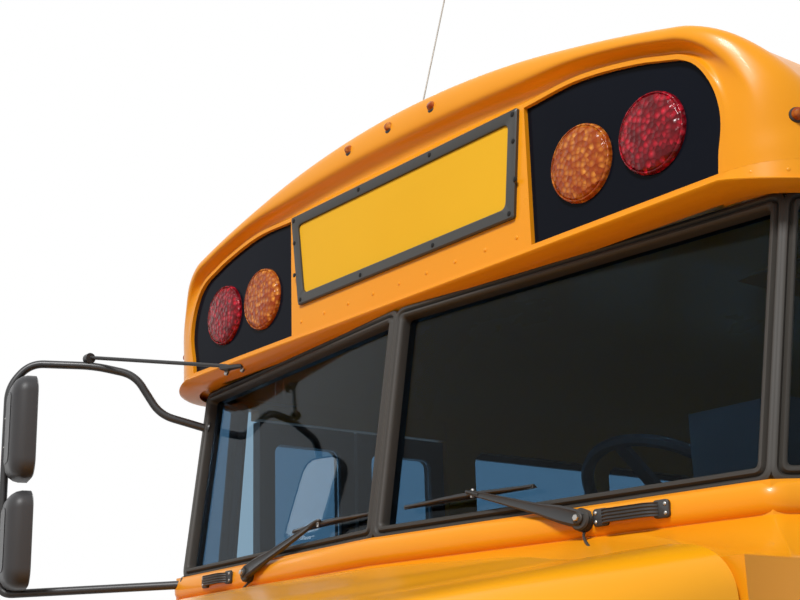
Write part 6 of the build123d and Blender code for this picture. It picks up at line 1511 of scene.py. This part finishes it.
print("seats:", len(seat_parts), "benches and the driver's")

# %% [markdown]
# ## Windows, lights and rows of rivets
# Each side window is a pair of black sashes, split at half height. The sheets of the sides are
# riveted to their bows in long rows. The stop sign has a white border and two red lamps on its
# outer side, and each headlamp pair has a clear and an amber lens.

# %% Side trim
WALL_OUT = 1.219
SILL_Z, HEAD_Z = 1.800, 2.480
WINDOW_PITCH, WINDOW_WIDE, FIRST_WINDOW, WINDOWS = 0.711, 0.635, -2.084, 10
DRIVER_WINDOW = (-2.620, 0.640)
RIVET_PITCH, REAR_END = 0.100, 5.35
# height and first place of each row of rivets
RIVET_ROWS = ((1.100, -2.95), (1.700, -2.20), (2.535, -2.95), (0.900, -1.60))
DOOR_END = -2.15
# no rivets below this height between these two places, because the wheel opening is there
OPENING_TOP, OPENING_FROM, OPENING_TO = 1.05, 1.45, 2.65
sashes = []
for side in (1, -1):
    spots = [(FIRST_WINDOW + WINDOW_PITCH * i + WINDOW_WIDE / 2, WINDOW_WIDE) for i in range(WINDOWS)]
    if side > 0:
        spots.append(DRIVER_WINDOW)
    for y, wide in spots:
        middle_z = (SILL_Z + HEAD_Z) / 2
        x = side * (WALL_OUT - 0.012)
        for z in (SILL_Z + 0.012, middle_z, HEAD_Z - 0.012):
            sashes.append((brick((x, y, z), (0.016, wide - 0.04, 0.022)), "black_paint"))
        for way in (-1, 1):
            stile = (x, y + way * (wide / 2 - 0.014), middle_z)
            sashes.append((brick(stile, (0.016, 0.020, HEAD_Z - SILL_Z - 0.06)), "black_paint"))
            latch = (x + side * 0.004, y + way * (wide / 2 - 0.075), middle_z + 0.010)
            sashes.append((brick(latch, (0.014, 0.030, 0.016)), "screw_steel"))
piece("window_sashes", "bus_body", sashes, smooth=30)
for name, side in SIDES.items():
    rows = []
    for z, first_y in RIVET_ROWS:
        for y in [first_y + RIVET_PITCH * i for i in range(int((REAR_END - first_y) / RIVET_PITCH))]:
            at_door = side < 0 and y < DOOR_END
            at_wheel = z < OPENING_TOP and OPENING_FROM < y < OPENING_TO
            if not at_door and not at_wheel:
                rows.append(((side * WALL_OUT, y, z), (side, 0, 0)))
    studs(f"side_rivets_{name}", "bus_body", rows, 0.0065, 0.0022, "body_yellow",
          sides=6)


STOP_X, STOP_Y, STOP_Z = 1.257, -2.470, 1.560
# width across the flats, distance out of the plate's middle
BORDER_RINGS = ((0.436, 0.0080), (0.436, 0.0094), (0.408, 0.0094), (0.408, 0.0080))
STOP_LAMP = ((0.036, 0), (0.036, 0.010), (0.030, 0.016), (0, 0.018))
STOP_LAMP_Z = (1.700, 1.420)
# place across, radius and finish of each lens
HEADLAMP_LENSES = ((0.895, 0.070, "white_lens"), (1.045, 0.048, "amber_lens"))
HEADLAMP_Y, HEADLAMP_Z = -5.2405, 0.975


def octagon(across, x):
    """Eight corners of a plate standing in the Y and Z plane, flat side up."""
    reach = across / 2 / cos(pi / 8)
    angles = [pi / 8 + pi / 4 * i for i in range(8)]
    return [Vector((x, STOP_Y + reach * cos(a), STOP_Z + reach * sin(a))) for a in angles]


border = []
for s in (1, -1):
    rings = [octagon(across, STOP_X + s * out) for across, out in BORDER_RINGS]
    border.append((loft(rings, ends=False), "rim_white"))
for z in STOP_LAMP_Z:
    border.append((turned(STOP_LAMP, (STOP_X + 0.008, STOP_Y, z), (1, 0, 0), 24), "red_lens"))
piece("stop_sign_border", "stop_sign_arm", border, smooth=35)
lenses = []
for side in (1, -1):
    for x, r, look in HEADLAMP_LENSES:
        place = (side * x, HEADLAMP_Y, HEADLAMP_Z)
        dome = [(r, 0), (r, 0.006), (r * 0.94, 0.011), (r * 0.6, 0.017), (0, 0.020)]
        rim = [(r, 0), (r, 0.008), (r + 0.006, 0.008), (r + 0.010, 0)]
        lenses.append((turned(dome, place, (0, -1, 0), 40), look))
        lenses.append((turned(rim, place, (0, -1, 0), 40), "grille_silver"))
piece("headlamp_lenses", "tilting_hood", lenses, smooth=40)
print(len(sashes), "sash parts, rivet rows, stop sign border and headlamps")

# %% [markdown]
# ## Under the visor
# The visor is closed below by a flat yellow sheet on each side that runs back to the windshield's
# head, so that no gap shows over the corner panes.

# %% Visor underside
UNDERSIDE_Z, UNDERSIDE_DEPTH = LAMP_Z - 0.184, 0.075
under = []
for side in (1, -1):
    lip = [p for p in cap_plan(-0.006) if side * p[0] >= -1e-6]
    lip.sort(key=lambda p: (abs(p[0]), p[1]))
    front = [(x, LAMP_FACE_Y + y, UNDERSIDE_Z) for x, y in lip]
    back = [(x * 0.93, LAMP_FACE_Y + max(y, 0.0) * 0.9 + UNDERSIDE_DEPTH, UNDERSIDE_Z) for x, y in lip]
    under.append((loft([front, back], closed=False, ends=False), "body_yellow"))
piece("visor_underside", "bus_body", under, smooth=40)
print("visor closed below")

# %% [markdown]
# ## Washer hoses
# A thin rubber hose leaves the boss of each wiper, hangs a little and goes into the cowl. It is
# short, so it makes one soft bend. Its route is guessed.

# %% Washer hoses
HOSE_THICK = 0.006
HOSE_ROUTE = ((0.000, 0.000, 0.000), (0.006, -0.012, -0.008), (0.022, -0.028, -0.020),
              (0.044, -0.043, -0.034), (0.068, -0.055, -0.048), (0.090, -0.060, -0.062),
              (0.105, -0.052, -0.076), (0.112, -0.036, -0.088))
HOSE_WAY = {"left": 1.0, "right": 0.4}
# where a hose leaves its boss: below the pivot, out of the glass
HOSE_BELOW, HOSE_OUT = 0.019, 0.024
for name, side in SIDES.items():
    boss_u = side * WIPER_PIVOT[name] * sqrt(1 + SWEEP ** 2)
    start = on_pane(pane_plane(side, False), boss_u, -PIVOT_DROP - HOSE_BELOW, HOSE_OUT)
    line = bpy.data.curves.new(f"washer_hose_{name}", "CURVE")
    line.dimensions = "3D"
    spline = line.splines.new("NURBS")
    spline.points.add(len(HOSE_ROUTE) - 1)
    for point, (x, y, z) in zip(spline.points, HOSE_ROUTE):
        point.co = (*(start + Vector((HOSE_WAY[name] * x, y, z))), 1)
    spline.order_u = 3
    spline.use_endpoint_u = True
    spline.resolution_u = 10
    line.bevel_depth = HOSE_THICK / 2
    line.bevel_resolution = 4
    line.use_fill_caps = True
    line.materials.append(finishes["black_rubber"])
    hose = in_scene(f"washer_hose_{name}", line)
    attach(hose, "bus_body")
    print(hose.name, "is", round(spline.calc_length(), 3), "m long")

# %% [markdown]
# ## Camera, light and floor
# The camera was solved from the round lamps, whose size is known, with the sign and the
# windshield. It stands low by the front left corner and looks up. A strong lamp from the front
# left and two large weak ones from the right and the back give a plain studio light. The world
# looks white to the camera and in glass, but sheds only a weak bluish light on the bus.

# %% Camera
CAMERA_PLACE = (2.668, -5.507, 1.593)
TURN, TILT, ROLL = radians(51.177), radians(16.059), radians(-1.629)
forward = Vector((-sin(TURN) * cos(TILT), cos(TURN) * cos(TILT), sin(TILT)))
level = Vector((cos(TURN), sin(TURN), 0))
upright = level.cross(forward)
right = level * cos(ROLL) + upright * sin(ROLL)
above = upright * cos(ROLL) - level * sin(ROLL)
camera_data = bpy.data.cameras.new("camera")
camera_data.lens = 63
camera_data.sensor_width = 36
camera_data.clip_start = 0.05
camera_data.clip_end = 200
camera = in_scene("camera", camera_data)
camera.matrix_world = Matrix((
    (right.x, above.x, -forward.x, CAMERA_PLACE[0]),
    (right.y, above.y, -forward.y, CAMERA_PLACE[1]),
    (right.z, above.z, -forward.z, CAMERA_PLACE[2]),
    (0, 0, 0, 1),
))
bpy.context.scene.camera = camera
print("camera at", tuple(round(v, 3) for v in camera.location))

# %% Light
def lamp(name, place, aim, size, power, colour=(1, 1, 1)):
    """A square soft lamp at a place, aimed at a point."""
    data = bpy.data.lights.new(name, "AREA")
    data.shape = "SQUARE"
    data.size = size
    data.energy = power
    data.color = colour
    obj = in_scene(name, data)
    obj.location = place
    obj.rotation_euler = (Vector(aim) - Vector(place)).to_track_quat("-Z", "Y").to_euler()


# name, place, aim, size in metres, power in watts
lamp("key", (5.0, -13.0, 12.5), (0, -2, 1.5), 3, 2120)
lamp("side", (-10.0, 7.0, 9.0), (0, 1, 1.5), 6, 450)
lamp("back", (5.0, 15.0, 9.0), (0, 2, 1.5), 6, 600)
world = bpy.data.worlds.new("studio")
bpy.context.scene.world = world
world.use_nodes = True
tree = world.node_tree
sky = tree.nodes["Background"]
sky.inputs["Color"].default_value = (0.86, 0.91, 0.97, 1)
sky.inputs["Strength"].default_value = 0.36
seen = tree.nodes.new("ShaderNodeBackground")
seen.inputs["Color"].default_value = (1, 1, 1, 1)
seen.inputs["Strength"].default_value = 1.0
blend = mix_shaders(tree, seen_by_eye(tree), sky.outputs[0], seen.outputs[0])
tree.links.new(blend, tree.nodes["World Output"].inputs[0])
bpy.context.scene.view_settings.view_transform = "Standard"
print("light set")

# %% Floor
FLOOR_REACH = 60
# distance from the bus where the floor starts to look white and where it is all white
WHITE_FROM, WHITE_FULL = 9.0, 26.0
floor_mesh = bpy.data.meshes.new("studio_floor")
floor_corners = [(FLOOR_REACH * x, FLOOR_REACH * y, 0) for x, y in ((-1, -1), (1, -1), (1, 1), (-1, 1))]
floor_mesh.from_pydata(floor_corners, [], [(0, 1, 2, 3)])
studio_floor = in_scene("studio_floor", floor_mesh)
finish("studio_paper", (0.80, 0.80, 0.79), 0.8, second=(0.78, 0.78, 0.77), film=(1, 1, 0), skin=(50, 0))
floor_mesh.materials.append(finishes["studio_paper"])
tree = finishes["studio_paper"].node_tree
paper, out = tree.nodes["Principled BSDF"], tree.nodes["Material Output"]
either = seen_by_eye(tree)
reach = tree.nodes.new("ShaderNodeVectorMath")
reach.operation = "LENGTH"
tree.links.new(tree.nodes.new("ShaderNodeTexCoord").outputs["Object"], reach.inputs[0])
far = tree.nodes.new("ShaderNodeMapRange")
far.interpolation_type = "SMOOTHSTEP"
far.inputs["From Min"].default_value = WHITE_FROM
far.inputs["From Max"].default_value = WHITE_FULL
tree.links.new(reach.outputs["Value"], far.inputs["Value"])
dull = tree.nodes.new("ShaderNodeBsdfDiffuse")
dull.inputs["Color"].default_value = (0.30, 0.30, 0.30, 1)
white = tree.nodes.new("ShaderNodeEmission")
near_mix = mix_shaders(tree, either, dull.outputs[0], paper.outputs[0])
far_share = sum_node(tree, "MULTIPLY", either, far.outputs[0])
far_mix = mix_shaders(tree, far_share, near_mix, white.outputs[0])
tree.links.new(far_mix, out.inputs["Surface"])
print("floor laid")
